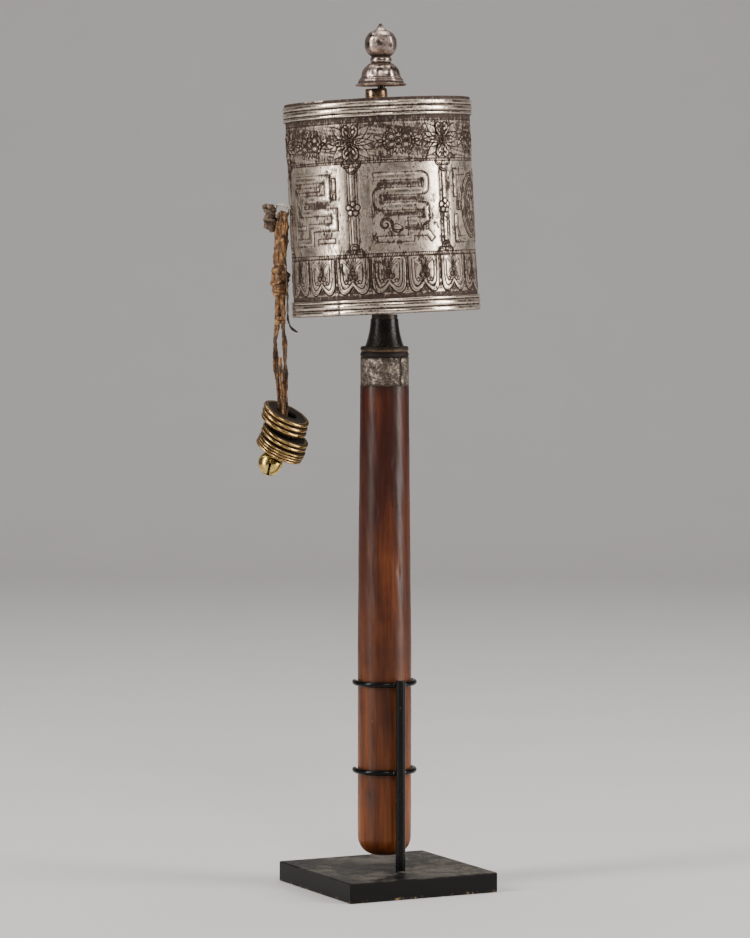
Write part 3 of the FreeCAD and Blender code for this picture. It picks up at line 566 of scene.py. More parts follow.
def bulge(start, end, depth, count=7):
    """Points of a shallow arc from start to end that stands out by depth to the right of the way."""
    start, end = np.array(start, float), np.array(end, float)
    way = end - start
    side = np.array([way[1], -way[0]]) / np.hypot(*way)
    share = np.linspace(0, 1, count)
    return [tuple(start + way * t + side * depth * 4 * t * (1 - t)) for t in share]


def joined(*runs):
    """Runs of points one after another, without points that repeat."""
    points = []
    for run in runs:
        for point in run:
            if not points or math.dist(points[-1], point) > 1e-6:
                points.append(tuple(point))
    return points


# --- Cord routes, cords and knots ---

# The routes of part.py, in metres in the weight plane's frame.
ROUTES = {
    "strand_outer": [
        (0.04280, 0.0000, 0.2261), (0.04375, 0.0002, 0.2215), (0.04370, 0.0001, 0.2135),
        (0.04310, 0.0000, 0.2055), (0.04205, 0.0000, 0.1980), (0.04125, 0.0000, 0.1915),
        (0.04220, 0.0000, 0.1840), (0.04395, 0.0000, 0.1776),
    ],
    "strand_inner": [
        (0.04070, 0.0000, 0.2261), (0.04010, -0.0001, 0.2215), (0.03975, 0.0000, 0.2135),
        (0.03965, 0.0000, 0.2055), (0.03950, 0.0000, 0.1980), (0.03945, 0.0000, 0.1915),
        (0.04045, 0.0000, 0.1840), (0.04210, 0.0000, 0.1776),
    ],
    "strand_middle": [
        (0.04170, 0.0009, 0.2130), (0.04145, 0.0014, 0.2055), (0.04095, 0.0015, 0.1980),
        (0.04035, 0.0015, 0.1915), (0.04133, 0.0015, 0.1840), (0.04305, 0.0015, 0.1776),
    ],
    "cord_tail": [
        (0.04040, 0.00455, 0.2530), (0.03930, 0.00510, 0.2485), (0.03885, 0.00470, 0.2430),
        (0.03865, 0.00410, 0.2375), (0.03875, 0.00400, 0.2320), (0.03850, 0.00430, 0.2272),
        (0.03680, 0.00510, 0.2240), (0.03460, 0.00580, 0.2232),
    ],
}


def spline_points(points, detail=10):
    """Points along the NURBS spline that has these control points, in metres in the weight frame."""
    data = bpy.data.curves.new("route", "CURVE")
    data.dimensions = "3D"
    data.resolution_u = detail
    spline = data.splines.new("NURBS")
    spline.points.add(len(points) - 1)
    for place, point in zip(spline.points, points):
        place.co = (*point, 1)
    spline.order_u = 3
    spline.use_endpoint_u = True
    holder = bpy.data.objects.new("route", data)
    bpy.context.scene.collection.objects.link(holder)
    mesh = bpy.data.meshes.new_from_object(holder)
    found = np.array([vertex.co[:] for vertex in mesh.vertices])
    bpy.data.objects.remove(holder)
    bpy.data.curves.remove(data)
    bpy.data.meshes.remove(mesh)
    return found


def travelling_frames(line):
    """Unit way and two unit sides at every point of a line, without twist."""
    way = np.gradient(line, axis=0)
    way /= np.linalg.norm(way, axis=1)[:, None]
    side = np.zeros_like(way)
    side[0] = np.cross(way[0], (0.31, 0.86, 0.41))
    side[0] /= np.linalg.norm(side[0])
    for i in range(1, len(line)):
        side[i] = side[i - 1] - way[i] * np.dot(side[i - 1], way[i])
        side[i] /= np.linalg.norm(side[i])
    return way, side, np.cross(way, side)


def resampled(line, step):
    """The same line with points a step apart."""
    run = np.concatenate([[0], np.cumsum(np.linalg.norm(np.diff(line, axis=0), axis=1))])
    count = max(8, int(run[-1] / step))
    places = np.linspace(0, run[-1], count)
    return np.stack([np.interp(places, run, line[:, axis]) for axis in range(3)], axis=1)


def thong(line, radius, seed, flat=0.8, sides=12, rough=0.14, taper=0.0):
    """Tube of hide along a line: oval, uneven and slowly turning. Gives its points and faces."""
    rng = np.random.default_rng(seed)
    line = resampled(line, radius * 0.45)
    _, side, other = travelling_frames(line)
    run = np.linspace(0, 1, len(line))
    length = np.linalg.norm(np.diff(line, axis=0), axis=1).sum()
    turn = run * length / (radius * 11) + rng.uniform(0, 6.28)
    angle = np.linspace(0, TURN, sides, endpoint=False)
    along = run[:, None] * length / radius
    bumps = sum(np.sin(along * pace + angle[None] * lobes + rng.uniform(0, 6.28)) * rough / 3
                for pace, lobes in ((0.55, 1), (0.9, 2), (1.7, 3), (2.6, 1)))
    thick = radius * (1 + bumps) * (1 - taper * run[:, None])
    from_end = np.minimum(run, 1 - run)[:, None] * length / radius
    thick = thick * np.sqrt(unit(from_end * 1.6 + 0.12))
    across, down = thick * np.cos(angle), thick * np.sin(angle) * flat
    c, s = np.cos(turn)[:, None], np.sin(turn)[:, None]
    u, v = across * c - down * s, across * s + down * c
    points = line[:, None] + side[:, None] * u[..., None] + other[:, None] * v[..., None]
    last = (len(line) - 1) * sides
    ends = [tuple(range(sides - 1, -1, -1)), tuple(range(last, last + sides))]
    return points.reshape(-1, 3), grid_faces(len(line), sides) + ends


def laid(route, radius, seed, **options):
    """Thong of a radius in millimetres along a smooth route."""
    return thong(spline_points(route), radius * MM, seed, **options)


def off_line(x, level, points, rise=MM):
    """Points given by how far they are out from x, across, and up from a level, in millimetres or rises."""
    return [(x + out * MM, across * MM, level + up * rise) for out, across, up in points]


def bunch(name, tubes, look, stain=None):
    """One piece from several tubes given in the weight frame."""
    points, faces = [], []
    for tube_points, tube_faces in tubes:
        first = len(points)
        points.extend(tube_points.tolist())
        faces.extend(tuple(i + first for i in face) for face in tube_faces)
    points = placed(HANDLE, np.array(points) / MM)
    return mesh_piece(name, points, faces, look, stain=np.zeros(len(points)) if stain is None else stain)


def plies(line, radius, pitch, seed):
    """Two thongs laid round a line as the plies of a twisted cord."""
    line = resampled(line, radius * 0.4)
    _, side, other = travelling_frames(line)
    length = np.concatenate([[0], np.cumsum(np.linalg.norm(np.diff(line, axis=0), axis=1))])
    tubes = []
    for ply in range(PLIES):
        angle = length / pitch * TURN + ply * TURN / PLIES + seed
        drift = radius * PLY_SPREAD * (1 + 0.12 * np.sin(length / pitch * 2.1 + ply))
        lie = line + side * (np.cos(angle) * drift)[:, None] + other * (np.sin(angle) * drift)[:, None]
        tubes.append(thong(lie, radius * (1.04 - PLY_SPREAD), seed * 31 + ply, rough=0.3))
    return tubes


def winding(centre, radius, low, high, turns, squash=1.0, tilt=(0.0, 0.0), start=0.0, wobble=0.06):
    """Line that winds round an upright axis between two heights, leaning by tilt out and across."""
    t = np.linspace(0, 1, int(turns * 40) + 2)
    angle = start + t * turns * TURN
    reach = radius * (1 + wobble * np.sin(angle * 1.7 + start * 3))
    x, y = reach * np.cos(angle), reach * np.sin(angle) * squash
    z = low + (high - low) * t + tilt[0] * x + tilt[1] * y
    return np.stack([centre[0] + x, centre[1] + y, z], axis=1)


# Look, diameter and pitch of the plies in millimetres, and seed.
STRANDS = {
    "strand_outer": ("hide_brown", 2.3, 34.0, 3),
    "strand_inner": ("hide_brown", 2.1, 26.0, 7),
    "strand_middle": ("hide", 1.7, 22.0, 11),
    "cord_tail": ("hide_grey", 1.0, 9.0, 17),
}
PLIES = 2
PLY_SPREAD = 0.44
CORD_LINE = in_weight_frame(centre_of("cord_wrap")).x
KNOT_LOW, KNOT_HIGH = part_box("middle_knot")[0][2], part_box("middle_knot")[1][2]
WRAP_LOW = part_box("cord_wrap")[0][2]
BUNDLE_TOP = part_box("cord_bundle")[1][2]
EYE_AT = in_weight_frame(EYE)
SIDE_KNOT = in_weight_frame(centre_of("eye_knot"))
DARK_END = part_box("cord_tail")[0][2] + 9 * MM


def strands():
    """The free strands and the tail, each laid from plies along its route. The tail's end is dark."""
    made = {}
    for name, (look, wide, pitch, seed) in STRANDS.items():
        line = spline_points(ROUTES[name])
        tubes = plies(line, wide * MM / 2, pitch * MM, seed)
        stain = None
        if name == "cord_tail":
            heights = np.concatenate([points[:, 2] for points, _ in tubes])
            stain = unit((DARK_END - heights) / (2 * MM))
        piece = bunch(name + "_twist", tubes, look, stain)
        body = "cord_upper" if name == "cord_tail" else "cord_lower"
        made[name] = (belongs(piece, body, "cord_hide", name), line)
    return made


def upper_bundle():
    """Thongs of several widths lying together, hardly twisted, from the eye down into the middle knot."""
    bottom, rng = KNOT_LOW + 4 * MM, np.random.default_rng(12)
    tubes = []
    for number in range(7):
        angle = number * 0.9 + rng.uniform(-0.2, 0.2)
        route = []
        for share in np.linspace(0, 1, 7):
            level = bottom + (BUNDLE_TOP + 2.2 * MM - bottom) * share
            reach = (1.35 + 0.65 * share + rng.uniform(-0.25, 0.25)) * MM
            turn = angle + 1.5 * share
            route.append((CORD_LINE + (0.1 - 0.5 * share) * MM + reach * math.cos(turn),
                          reach * math.sin(turn) * 0.8, level))
        tubes.append(laid(route, rng.uniform(0.95, 1.3), 20 + number, rough=0.34, flat=0.7))
    core = off_line(CORD_LINE, bottom, [(0, 0, 0), (-0.2, 0, 8)]) + [(CORD_LINE - 0.4 * MM, 0, BUNDLE_TOP)]
    tubes.append(laid(core, 1.5, 28, rough=0.2))
    return bunch("bundle_twist", tubes, "hide")


def eye_loop():
    """Thongs that spread over the wire eye, pass through it and come down into the bundle."""
    tubes = []
    top = EYE_AT.z - 0.3 * MM
    for number, across in enumerate((-2.0, -1.2, -0.4, 0.4, 1.2, 1.9)):
        x = EYE_AT.x - 0.4 * MM + across * MM
        dip = abs(across) * 0.5 * MM
        low = BUNDLE_TOP - 3 * MM
        foot = CORD_LINE - 0.3 * MM + across * 0.75 * MM
        back = [(foot, 1.5 * MM, low), (x, 2.1 * MM, top - 5 * MM - dip),
                (x - across * 0.25 * MM, 1.5 * MM, top - dip)]
        crown = (x - across * 0.3 * MM, 0.0, top + 0.6 * MM - dip)
        route = [(a, -b, c) for a, b, c in back] + [crown] + back[::-1]
        tubes.append(laid(route, 0.62 + 0.12 * (number % 2), 40 + number, rough=0.3, flat=0.75))
    return bunch("loop_thongs", tubes, "hide")


def side_knot():
    """Wrinkled knot beside the eye: slack wraps round a core, a curled end and bridges to the bundle."""
    x, z = SIDE_KNOT.x - 0.7 * MM, SIDE_KNOT.z
    core = np.array(off_line(x, z, [(0, 0, -4.0), (0.2, 0, -1), (-0.2, 0, 3.9)]))
    tubes = [thong(core, 1.7 * MM, 50, rough=0.2)]
    for number in range(5):
        level = z + (number * 1.85 - 4.0) * MM
        reach = (1.55 + 0.35 * math.sin(number * 1.9)) * MM
        ring = winding((x, 0), reach, level, level + 1.0 * MM, 1.2, tilt=(0.35, 0.25), start=number * 2.1,
                       wobble=0.12)
        tubes.append(thong(ring, 1.0 * MM, 51 + number, rough=0.36, flat=0.8))
    end = off_line(x, z, [(-0.2, -1.6, -2.6), (0.1, -2.3, -4.4), (-0.6, -1.9, -5.6), (-1.5, -1.0, -4.9)])
    tubes.append(laid(end, 0.7, 57, rough=0.25))
    for number, level in enumerate((-3.4, -0.6, 1.9)):
        bridge = off_line(x, z, [(0, -0.9, level), (-2.0, -1.5, level - 1.2)])
        bridge += off_line(CORD_LINE, z, [(1.4, -1.4, level - 2.6), (-0.2, -1.0, level - 4.6)])
        tubes.append(laid(bridge, 0.85, 58 + number, rough=0.3))
    return bunch("side_knot_wraps", tubes, "hide_grey")


def middle_knot():
    """The big knot: crossing wraps above, bound round below, with slack loops lying on its camera side."""
    middle, span = (CORD_LINE, 0.0), KNOT_HIGH - KNOT_LOW
    core = np.array([(CORD_LINE, 0, KNOT_LOW + 0.6 * MM), (CORD_LINE + 0.3 * MM, 0, KNOT_LOW + span / 2),
                     (CORD_LINE, 0, KNOT_HIGH - 0.8 * MM)])
    tubes = [thong(core, 2.5 * MM, 60, rough=0.16)]
    for number in range(4):
        level = KNOT_LOW + (0.6 + number * 1.0) * MM
        ring = winding(middle, (2.35 + 0.12 * number) * MM, level, level + 0.7 * MM, 1.1, start=number * 1.3)
        tubes.append(thong(ring, 0.7 * MM, 61 + number, rough=0.28, flat=0.85))
    crossings = ((0.60, 0.55, 0.9, 2.7), (0.48, -0.50, 3.4, 2.75), (0.72, 0.35, 5.2, 2.4),
                 (0.84, -0.30, 1.9, 2.0), (0.94, 0.30, 4.0, 1.7))
    for number, (share, lean, start, reach) in enumerate(crossings):
        level = KNOT_LOW + span * share
        ring = winding(middle, reach * MM, level - 0.5 * MM, level + 0.5 * MM, 1.12,
                       tilt=(lean, 0.35 * (-1) ** number), start=start, wobble=0.1)
        tubes.append(thong(ring, 1.05 * MM, 66 + number, rough=0.34, flat=0.78))
    slack = [(1.6, -2.6, 0.62), (-0.4, -3.2, 0.74), (-2.3, -2.6, 0.66),
             (-2.6, -2.3, 0.50), (-1.2, -2.9, 0.44), (0.6, -2.9, 0.52)]
    tubes.append(laid(off_line(CORD_LINE, KNOT_LOW, slack, span), 0.72, 72, rough=0.3))
    strap = [(2.2, -1.5, 0.9), (2.9, -1.7, 0.6), (2.4, -2.1, 0.3), (0.8, -2.6, 0.2)]
    tubes.append(laid(off_line(CORD_LINE, KNOT_LOW, strap, span), 0.95, 74, rough=0.3, flat=0.7))
    return bunch("middle_knot_wraps", tubes, "hide")


def bound_stretch():
    """Two flat strands side by side below the knot, and the wrapping that holds them at the bottom."""
    tubes = []
    top = KNOT_LOW + 1.5 * MM
    for number, side in enumerate((-1, 1)):
        for layer, front in enumerate((-0.55, 0.5)):
            route = off_line(CORD_LINE, top, [(side * 0.8, front, 0), (side * 1.05, front, -4)])
            route += off_line(CORD_LINE, WRAP_LOW, [(side * 1.0, front, 3.5), (side * 1.15, front, -0.6)])
            tubes.append(laid(route, 1.1, 80 + number * 2 + layer, rough=0.22, flat=0.75))
    for number in range(3):
        level = WRAP_LOW + (0.2 + number * 1.0) * MM
        ring = winding((CORD_LINE, 0), 1.85 * MM, level, level + 0.7 * MM, 1.1, squash=0.7,
                       start=number * 2.4)
        tubes.append(thong(ring, 0.5 * MM, 84 + number, rough=0.3))
    return bunch("bound_strands", tubes, "hide")


def fibres():
    """Frayed ends that stand off the knots."""
    rng = np.random.default_rng(5)
    tubes = []
    for number in range(9):
        at = (CORD_LINE + rng.uniform(-2.4, 2.4) * MM, -rng.uniform(1.2, 2.2) * MM,
              KNOT_LOW + rng.uniform(1, 12) * MM)
        way = np.array([rng.uniform(-1, 1), rng.uniform(-0.7, 0.0), rng.uniform(-1.2, 0.4)])
        way = way / np.linalg.norm(way) * rng.uniform(1.6, 3.2) * MM
        bend = np.array([rng.uniform(-1, 1), 0, rng.uniform(-1, 0)]) * MM
        route = [at, tuple(np.array(at) + way * 0.5), tuple(np.array(at) + way + bend)]
        tubes.append(laid(route, 0.16, 90 + number, sides=6, taper=0.5))
    return bunch("frayed_ends", tubes, "hide_grey")


def cord():
    """Everything soft between the wire eye and the bell."""
    made = strands()
    bundle = belongs(upper_bundle(), "cord_upper", "cord_hide", "cord_bundle")
    loop = belongs(eye_loop(), "cord_upper", "cord_hide", "cord_loop")
    knot = belongs(middle_knot(), "cord_upper", "cord_hide", "middle_knot")
    side = belongs(side_knot(), "cord_upper", "cord_hide", "eye_knot")
    bound = belongs(bound_stretch(), "cord_lower", "cord_hide", "cord_wrap")
    frays = belongs(fibres(), "cord_upper", "cord_hide")


cord()


# --- Drum: chased ornament on the unrolled shell, in millimetres ---

SHELL_RADIUS = 36.8
ROUND = TURN * SHELL_RADIUS
RIM_TOP_LOW, RIM_BOTTOM_HIGH = 77.3, 6.2
PETAL_FOOT, ROPE_LOW, ROPE_HIGH = 7.8, 22.4, 23.9
PANEL_TOP, FLOWER_LOW, FLOWER_HIGH, DOTS_HIGH = 59.0, 60.1, 74.8, 75.6
PILASTER_AZIMUTH = 45.6
PETAL_AZIMUTH = 246.0
PILASTERS, PETALS = 6, 16
GROOVE_REACH = 0.28
LINE_LIFT = 0.022
FLOWER_MIDDLE = (FLOWER_LOW + FLOWER_HIGH) / 2
PANEL_MIDDLE = (ROPE_HIGH + PANEL_TOP) / 2


def along(azimuth):
    """Distance round the shell, in millimetres from the eye, of a direction given from +X."""
    return math.radians(azimuth - WEIGHT_AZIMUTH) * SHELL_RADIUS % ROUND


def smooth(points, detail=7):
    """Curve through points, as a Catmull-Rom spline."""
    points = np.array(points, float)
    ends = np.vstack([2 * points[0] - points[1], points, 2 * points[-1] - points[-2]])
    t = np.linspace(0, 1, detail, endpoint=False)[:, None]
    runs = []
    for a, b, c, d in zip(ends, ends[1:], ends[2:], ends[3:]):
        runs.append(b + (c - a) * t / 2 + (a * 2 - b * 5 + c * 4 - d) * t ** 2 / 2
                    + (b * 3 - a - c * 3 + d) * t ** 3 / 2)
    return np.vstack([*runs, points[-1:]])


def ring_points(x, y, across, up=None, start=0, end=360, count=33):
    """Points of a circle, or of an oval where up differs from across, from a start to an end in degrees."""
    angle = np.radians(np.linspace(start, end, count))
    return np.stack([x + across * np.cos(angle), y + (up or across) * np.sin(angle)], axis=1)


def curl(x, y, outer, inner, start, turns, count=36):
    """Spiral that starts at an angle on its outer radius and winds inward."""
    t = np.linspace(0, 1, count)
    angle = np.radians(start) + t * turns * TURN
    radius = outer + (inner - outer) * t
    return np.stack([x + radius * np.cos(angle), y + radius * np.sin(angle)], axis=1)


def mirrored(points):
    return np.asarray(points) * (-1, 1)


def turned_by(points, degrees):
    c, s = math.cos(math.radians(degrees)), math.sin(math.radians(degrees))
    return np.asarray(points) @ np.array([[c, s], [-s, c]])


def leaf(length, width, lean=0.0):
    """Outline of a pointed leaf from the origin along +X, bent sideways by lean."""
    upper = smooth([(0, 0), (length * 0.3, width / 2), (length * 0.65, width * 0.42), (length, 0)])
    lower = smooth([(length, 0), (length * 0.65, -width * 0.42), (length * 0.3, -width / 2), (0, 0)])
    outline = np.vstack([upper, lower])
    outline[:, 1] += lean * (outline[:, 0] / length) ** 2
    return outline


def band_outline(line, half):
    """Closed outline of a band with square ends and mitred corners along a line."""
    line = np.array(line, float)
    way = np.diff(line, axis=0)
    way /= np.linalg.norm(way, axis=1)[:, None]
    sides = np.stack([-way[:, 1], way[:, 0]], axis=1)
    mitre = np.vstack([sides[:1], sides[:-1] + sides[1:], sides[-1:]])
    mitre /= np.linalg.norm(mitre, axis=1)[:, None]
    reach = half / np.clip((mitre * np.vstack([sides[:1], sides])).sum(axis=1), 0.5, 1)
    offset = mitre * reach[:, None]
    return np.vstack([line + offset, (line - offset)[::-1], (line + offset)[:1]])


def rounded(line, radius, count=6):
    """The line with its corners rounded."""
    line = np.array(line, float)
    points = [line[0]]
    for before, corner, after in zip(line, line[1:], line[2:]):
        first = corner + (before - corner) / np.linalg.norm(before - corner) * radius
        last = corner + (after - corner) / np.linalg.norm(after - corner) * radius
        for t in np.linspace(0, 1, count):
            points.append(first * (1 - t) ** 2 + corner * 2 * t * (1 - t) + last * t ** 2)
    points.append(line[-1])
    return np.array(points)


def distance_to(line, x, y):
    """Distance from every point of a grid to the nearest point of a line."""
    start, way = line[:-1], np.diff(line, axis=0)
    square = np.maximum((way ** 2).sum(axis=1), 1e-12)
    dx, dy = x[..., None] - start[:, 0], y[..., None] - start[:, 1]
    t = unit((dx * way[:, 0] + dy * way[:, 1]) / square)
    return np.sqrt((dx - t * way[:, 0]) ** 2 + (dy - t * way[:, 1]) ** 2).min(axis=-1)


def is_inside(outline, x, y):
    """Which points of a grid lie inside a closed outline."""
    x0, y0 = outline.T
    x1, y1 = np.roll(outline, -1, axis=0).T
    rise = np.where(y1 == y0, 1e-12, y1 - y0)
    crosses = (y0 > y[..., None]) != (y1 > y[..., None])
    return (crosses & (x[..., None] < (x1 - x0) * (y[..., None] - y0) / rise + x0)).sum(axis=-1) % 2 == 1


class Chasing:
    """Relief, stain and engraved lines of one band round the drum."""

    def __init__(self, name, low, high, step):
        self.name, self.low = name, low
        self.columns = round(ROUND / step)
        self.rows = round((high - low) / step) + 1
        self.across = ROUND / self.columns
        self.up = (high - low) / (self.rows - 1)
        self.heights = low + np.arange(self.rows) * self.up
        self.relief = np.zeros((self.rows, self.columns))
        self.stain = np.zeros((self.rows, self.columns))
        self.lines = []

    def window(self, centre, points, margin):
        """Rows and columns near some points, and the coordinates there from the motif's centre."""
        (left, low), (right, high) = points.min(axis=0) - margin, points.max(axis=0) + margin
        rows = np.arange(max(0, math.floor((centre[1] + low - self.low) / self.up)),
                         min(self.rows, math.ceil((centre[1] + high - self.low) / self.up) + 1))
        columns = np.arange(math.floor((centre[0] + left) / self.across),
                            math.ceil((centre[0] + right) / self.across) + 1)
        x, y = np.meshgrid(columns * self.across - centre[0], self.low + rows * self.up - centre[1])
        return np.ix_(rows, columns % self.columns), x, y

    def groove(self, centre, points, width=0.40, depth=0.11, stain=0.9, reach=0.5):
        """Engrave a line, with dirt for a reach round it."""
        points = np.asarray(points, float)
        place, x, y = self.window(centre, points, 1.2)
        if 0 in x.shape:
            return
        away = distance_to(points, x, y)
        self.relief[place] -= depth * hump(away, 0, GROOVE_REACH)
        self.stain[place] = np.maximum(self.stain[place], stain * hump(away, 0, reach))
        self.lines.append((points + centre, width))

    def grooves(self, centre, points, *values):
        """The same groove on both sides of the motif's centre."""
        self.groove(centre, points, *values)
        self.groove(centre, mirrored(points), *values)

    def inside(self, outline, edge, x, y):
        """1 well inside an outline, falling to nothing at its edge."""
        away = distance_to(np.vstack([outline, outline[:1]]), x, y)
        return np.where(is_inside(outline, x, y), unit(away / edge), 0)

    def swell(self, centre, outline, height, edge=0.7):
        """Raise what lies inside an outline, rounded over its edge."""
        outline = np.asarray(outline, float)
        place, x, y = self.window(centre, outline, 0.1)
        if 0 in x.shape:
            return
        share = self.inside(outline, edge, x, y)
        self.relief[place] += height * np.sqrt(share * (2 - share))
        self.stain[place] *= 1 - 0.85 * share

    def shade(self, centre, outline, amount, edge=0.8):
        """Dirty the ground inside an outline."""
        outline = np.asarray(outline, float)
        place, x, y = self.window(centre, outline, 0.1)
        share = self.inside(outline, edge, x, y)
        self.stain[place] = np.maximum(self.stain[place], amount * share)

    def drawn(self, centre, outline, height=0.16, edge=0.7, **options):
        """A raised shape with an engraved outline."""
        self.swell(centre, outline, height, edge)
        self.groove(centre, outline, **options)

    def ground(self, amount, seed, low=-math.inf, high=math.inf):
        """Dirty the whole band between two heights, unevenly."""
        s, h = np.meshgrid(np.arange(self.columns) * self.across, self.heights)
        cloud = waves(s / SHELL_RADIUS, h * 0.35, seed, (2, 5, 9, 14)) * 0.5 + 0.5
        inside = unit((h - low) / 0.5) * unit((high - h) / 0.5)
        self.stain = np.maximum(self.stain, amount * inside * (0.45 + 0.75 * cloud))

    def ring_line(self, level, width, depth=0.14, stain=0.9):
        """Engrave a line right round the drum."""
        away = np.abs(self.heights - level)[:, None]
        self.relief -= depth * hump(away, 0, 0.3)
        self.stain = np.maximum(self.stain, stain * hump(away, 0, 0.5))
        s = np.linspace(0, ROUND, 721)
        self.lines.append((np.stack([s, np.full_like(s, level)], axis=1), width))

    def relief_at(self, points):
        """Relief at unrolled points, between those of the grid."""
        column = points[:, 0] / self.across
        row = np.clip((points[:, 1] - self.low) / self.up, 0, self.rows - 1.001)
        c0, r0 = np.floor(column).astype(int), np.floor(row).astype(int)
        fc, fr = column - c0, row - r0
        c0, c1 = c0 % self.columns, (c0 + 1) % self.columns
        lower = self.relief[r0, c0] * (1 - fc) + self.relief[r0, c1] * fc
        upper = self.relief[r0 + 1, c0] * (1 - fc) + self.relief[r0 + 1, c1] * fc
        return lower * (1 - fr) + upper * fr

    def rolled(self, points, lift=0.0):
        """Unrolled points on the shell, raised by the relief."""
        radius = SHELL_RADIUS + self.relief_at(points) + lift
        angle = points[:, 0] / SHELL_RADIUS
        return placed(DRUM, np.stack([radius * np.cos(angle), radius * np.sin(angle), points[:, 1]], axis=1))

    def surface(self):
        s, h = np.meshgrid(np.arange(self.columns) * self.across, self.heights)
        points = self.rolled(np.stack([s.ravel(), h.ravel()], axis=1))
        return mesh_piece(self.name, points, grid_faces(self.rows, self.columns), "silver", None, self.stain)

    def ribbons(self):
        """The engraved lines as thin dark strips that lie on the relief."""
        points, faces = [], []
        for line, width in self.lines:
            keep = np.concatenate([[True], np.linalg.norm(np.diff(line, axis=0), axis=1) > 1e-4])
            line = line[keep]
            if len(line) < 2:
                continue
            way = np.gradient(line, axis=0)
            way /= np.maximum(np.linalg.norm(way, axis=1), 1e-9)[:, None]
            side = np.stack([-way[:, 1], way[:, 0]], axis=1)
            run = np.linspace(0, 1, len(line))
            closed = np.linalg.norm(line[0] - line[-1]) < 1e-3
            thin = np.ones_like(run) if closed else unit(np.minimum(run, 1 - run) * 8 + 0.25)
            half = (width / 2 * thin)[:, None]
            first = len(points)
            edges = [self.rolled(line + way * side * half, LINE_LIFT) for way in (1, -1)]
            points.extend(np.stack(edges, axis=1).reshape(-1, 3).tolist())
            for i in range(len(line) - 1):
                a = first + 2 * i
                faces.append((a, a + 1, a + 3, a + 2))
        return mesh_piece(self.name + "_lines", points, faces, "line", None, np.zeros(len(points)))


def lotus_petal(band, s):
    """One petal of the lower border: double outline with a lobed foot, a three-lobed heart and rays."""
    at = (s, PETAL_FOOT)
    top = ROPE_LOW - PETAL_FOOT
    outer = smooth([(6.75, top), (6.75, 7.4), (6.55, 3.6), (5.7, 1.3), (3.9, 0.25), (2.2, 0.8), (0.9, 2.1),
                    (0, 3.4)])
    second = smooth([(5.35, top), (5.35, 7.8), (5.05, 4.8), (4.3, 3.0), (3.5, 2.5), (2.5, 3.0), (1.2, 4.1),
                     (0, 5.6)])
    heart = smooth([(4.1, top - 2.2), (4.15, 9.0), (3.95, 6.2), (3.3, 4.6), (2.5, 4.6), (2.25, 5.4),
                    (2.75, 5.9), (3.15, 5.4)])
    outline = np.vstack([outer, mirrored(outer)[::-1]])
    hollow = np.vstack([second, mirrored(second)[::-1]])
    band.swell(at, outline, 0.24, 0.9)
    band.swell(at, hollow, -0.10, 0.5)
    band.shade(at, [(-4.4, 3.6), (4.4, 3.6), (4.4, 9.6), (2.0, 12.0), (-2.0, 12.0), (-4.4, 9.6)], 0.8, 2.4)
    for line, width in ((outer, 0.55), (second, 0.42), (heart, 0.42)):
        band.grooves(at, line, width)
    band.grooves(at, outer * (0.9, 1) + (0, 0.75), 0.2, 0.05, 0.3)
    for x, y, size in ((0, 8.6, 0.95), (-1.1, 6.9, 0.95), (1.1, 6.9, 0.95)):
        band.drawn(at, ring_points(x, y, size), 0.20, 0.5, width=0.42, stain=1.0)
        band.groove(at, ring_points(x, y, size * 0.4, count=13), 0.22)
    band.grooves(at, curl(1.75, 5.1, 0.95, 0.25, 150, 0.9), 0.36)
    for spread, length in ((0.0, 4.6), (0.55, 4.4), (1.15, 4.0), (1.8, 3.5), (2.4, 2.8)):
        ray = smooth([(0.35 * spread, 10.0 - 0.3 * spread), (0.75 * spread, 10.0 + length * 0.5),
                      (1.45 * spread, 10.0 + length)])
        band.groove(at, ray, 0.26, stain=0.7)
        if spread:
            band.groove(at, mirrored(ray), 0.26, stain=0.7)
    for x in (0.2, -0.2):
        band.groove(at, [(7.225 + x, top), (7.225 + x, 5.2)], 0.3)
    foot = np.vstack([smooth([(5.9, 0.9), (6.9, 2.6), (7.225, 5.2)]),
                      smooth([(7.225, 5.2), (7.55, 2.6), (8.55, 0.9)])])
    band.shade(at, foot, 1.0, 0.4)
    band.drawn(at, ring_points(7.225, 3.0, 0.35, 0.7, count=13), 0.1, 0.3, width=0.24)
    band.shade(at, [(-2.6, 0.1), (0, 3.1), (2.6, 0.1)], 1.0, 0.4)


def rope_border(band, low, high, pitch, lean, width=0.4):
    """Two level lines with short leaning strokes between them."""
    band.ring_line(low, 0.26)
    band.ring_line(high, 0.26)
    count = round(ROUND / pitch)
    gap = (high - low) * 0.14
    for number in range(count):
        stroke = [(0, gap), (lean, high - low - gap)]
        band.groove((number * ROUND / count, low), stroke, width, 0.09, 1.0, 0.3)


def veined_leaf(band, at, outline, spine, strokes=2, height=0.24, width=0.32):
    """A raised leaf with an engraved outline and strokes drawn along it on both sides of its spine."""
    band.drawn(at, outline, height, 0.9, width=width)
    spine = np.asarray(spine, float)
    way = spine[-1] - spine[0]
    side = np.array([-way[1], way[0]]) / np.hypot(*way)
    for number in range(strokes):
        for sign in (1, -1):
            off = side * sign * (0.16 + 0.42 * number)
            band.groove(at, spine[0] + (spine - spine[0]) * (0.92 - 0.22 * number) + off, 0.24, 0.07, 0.6)


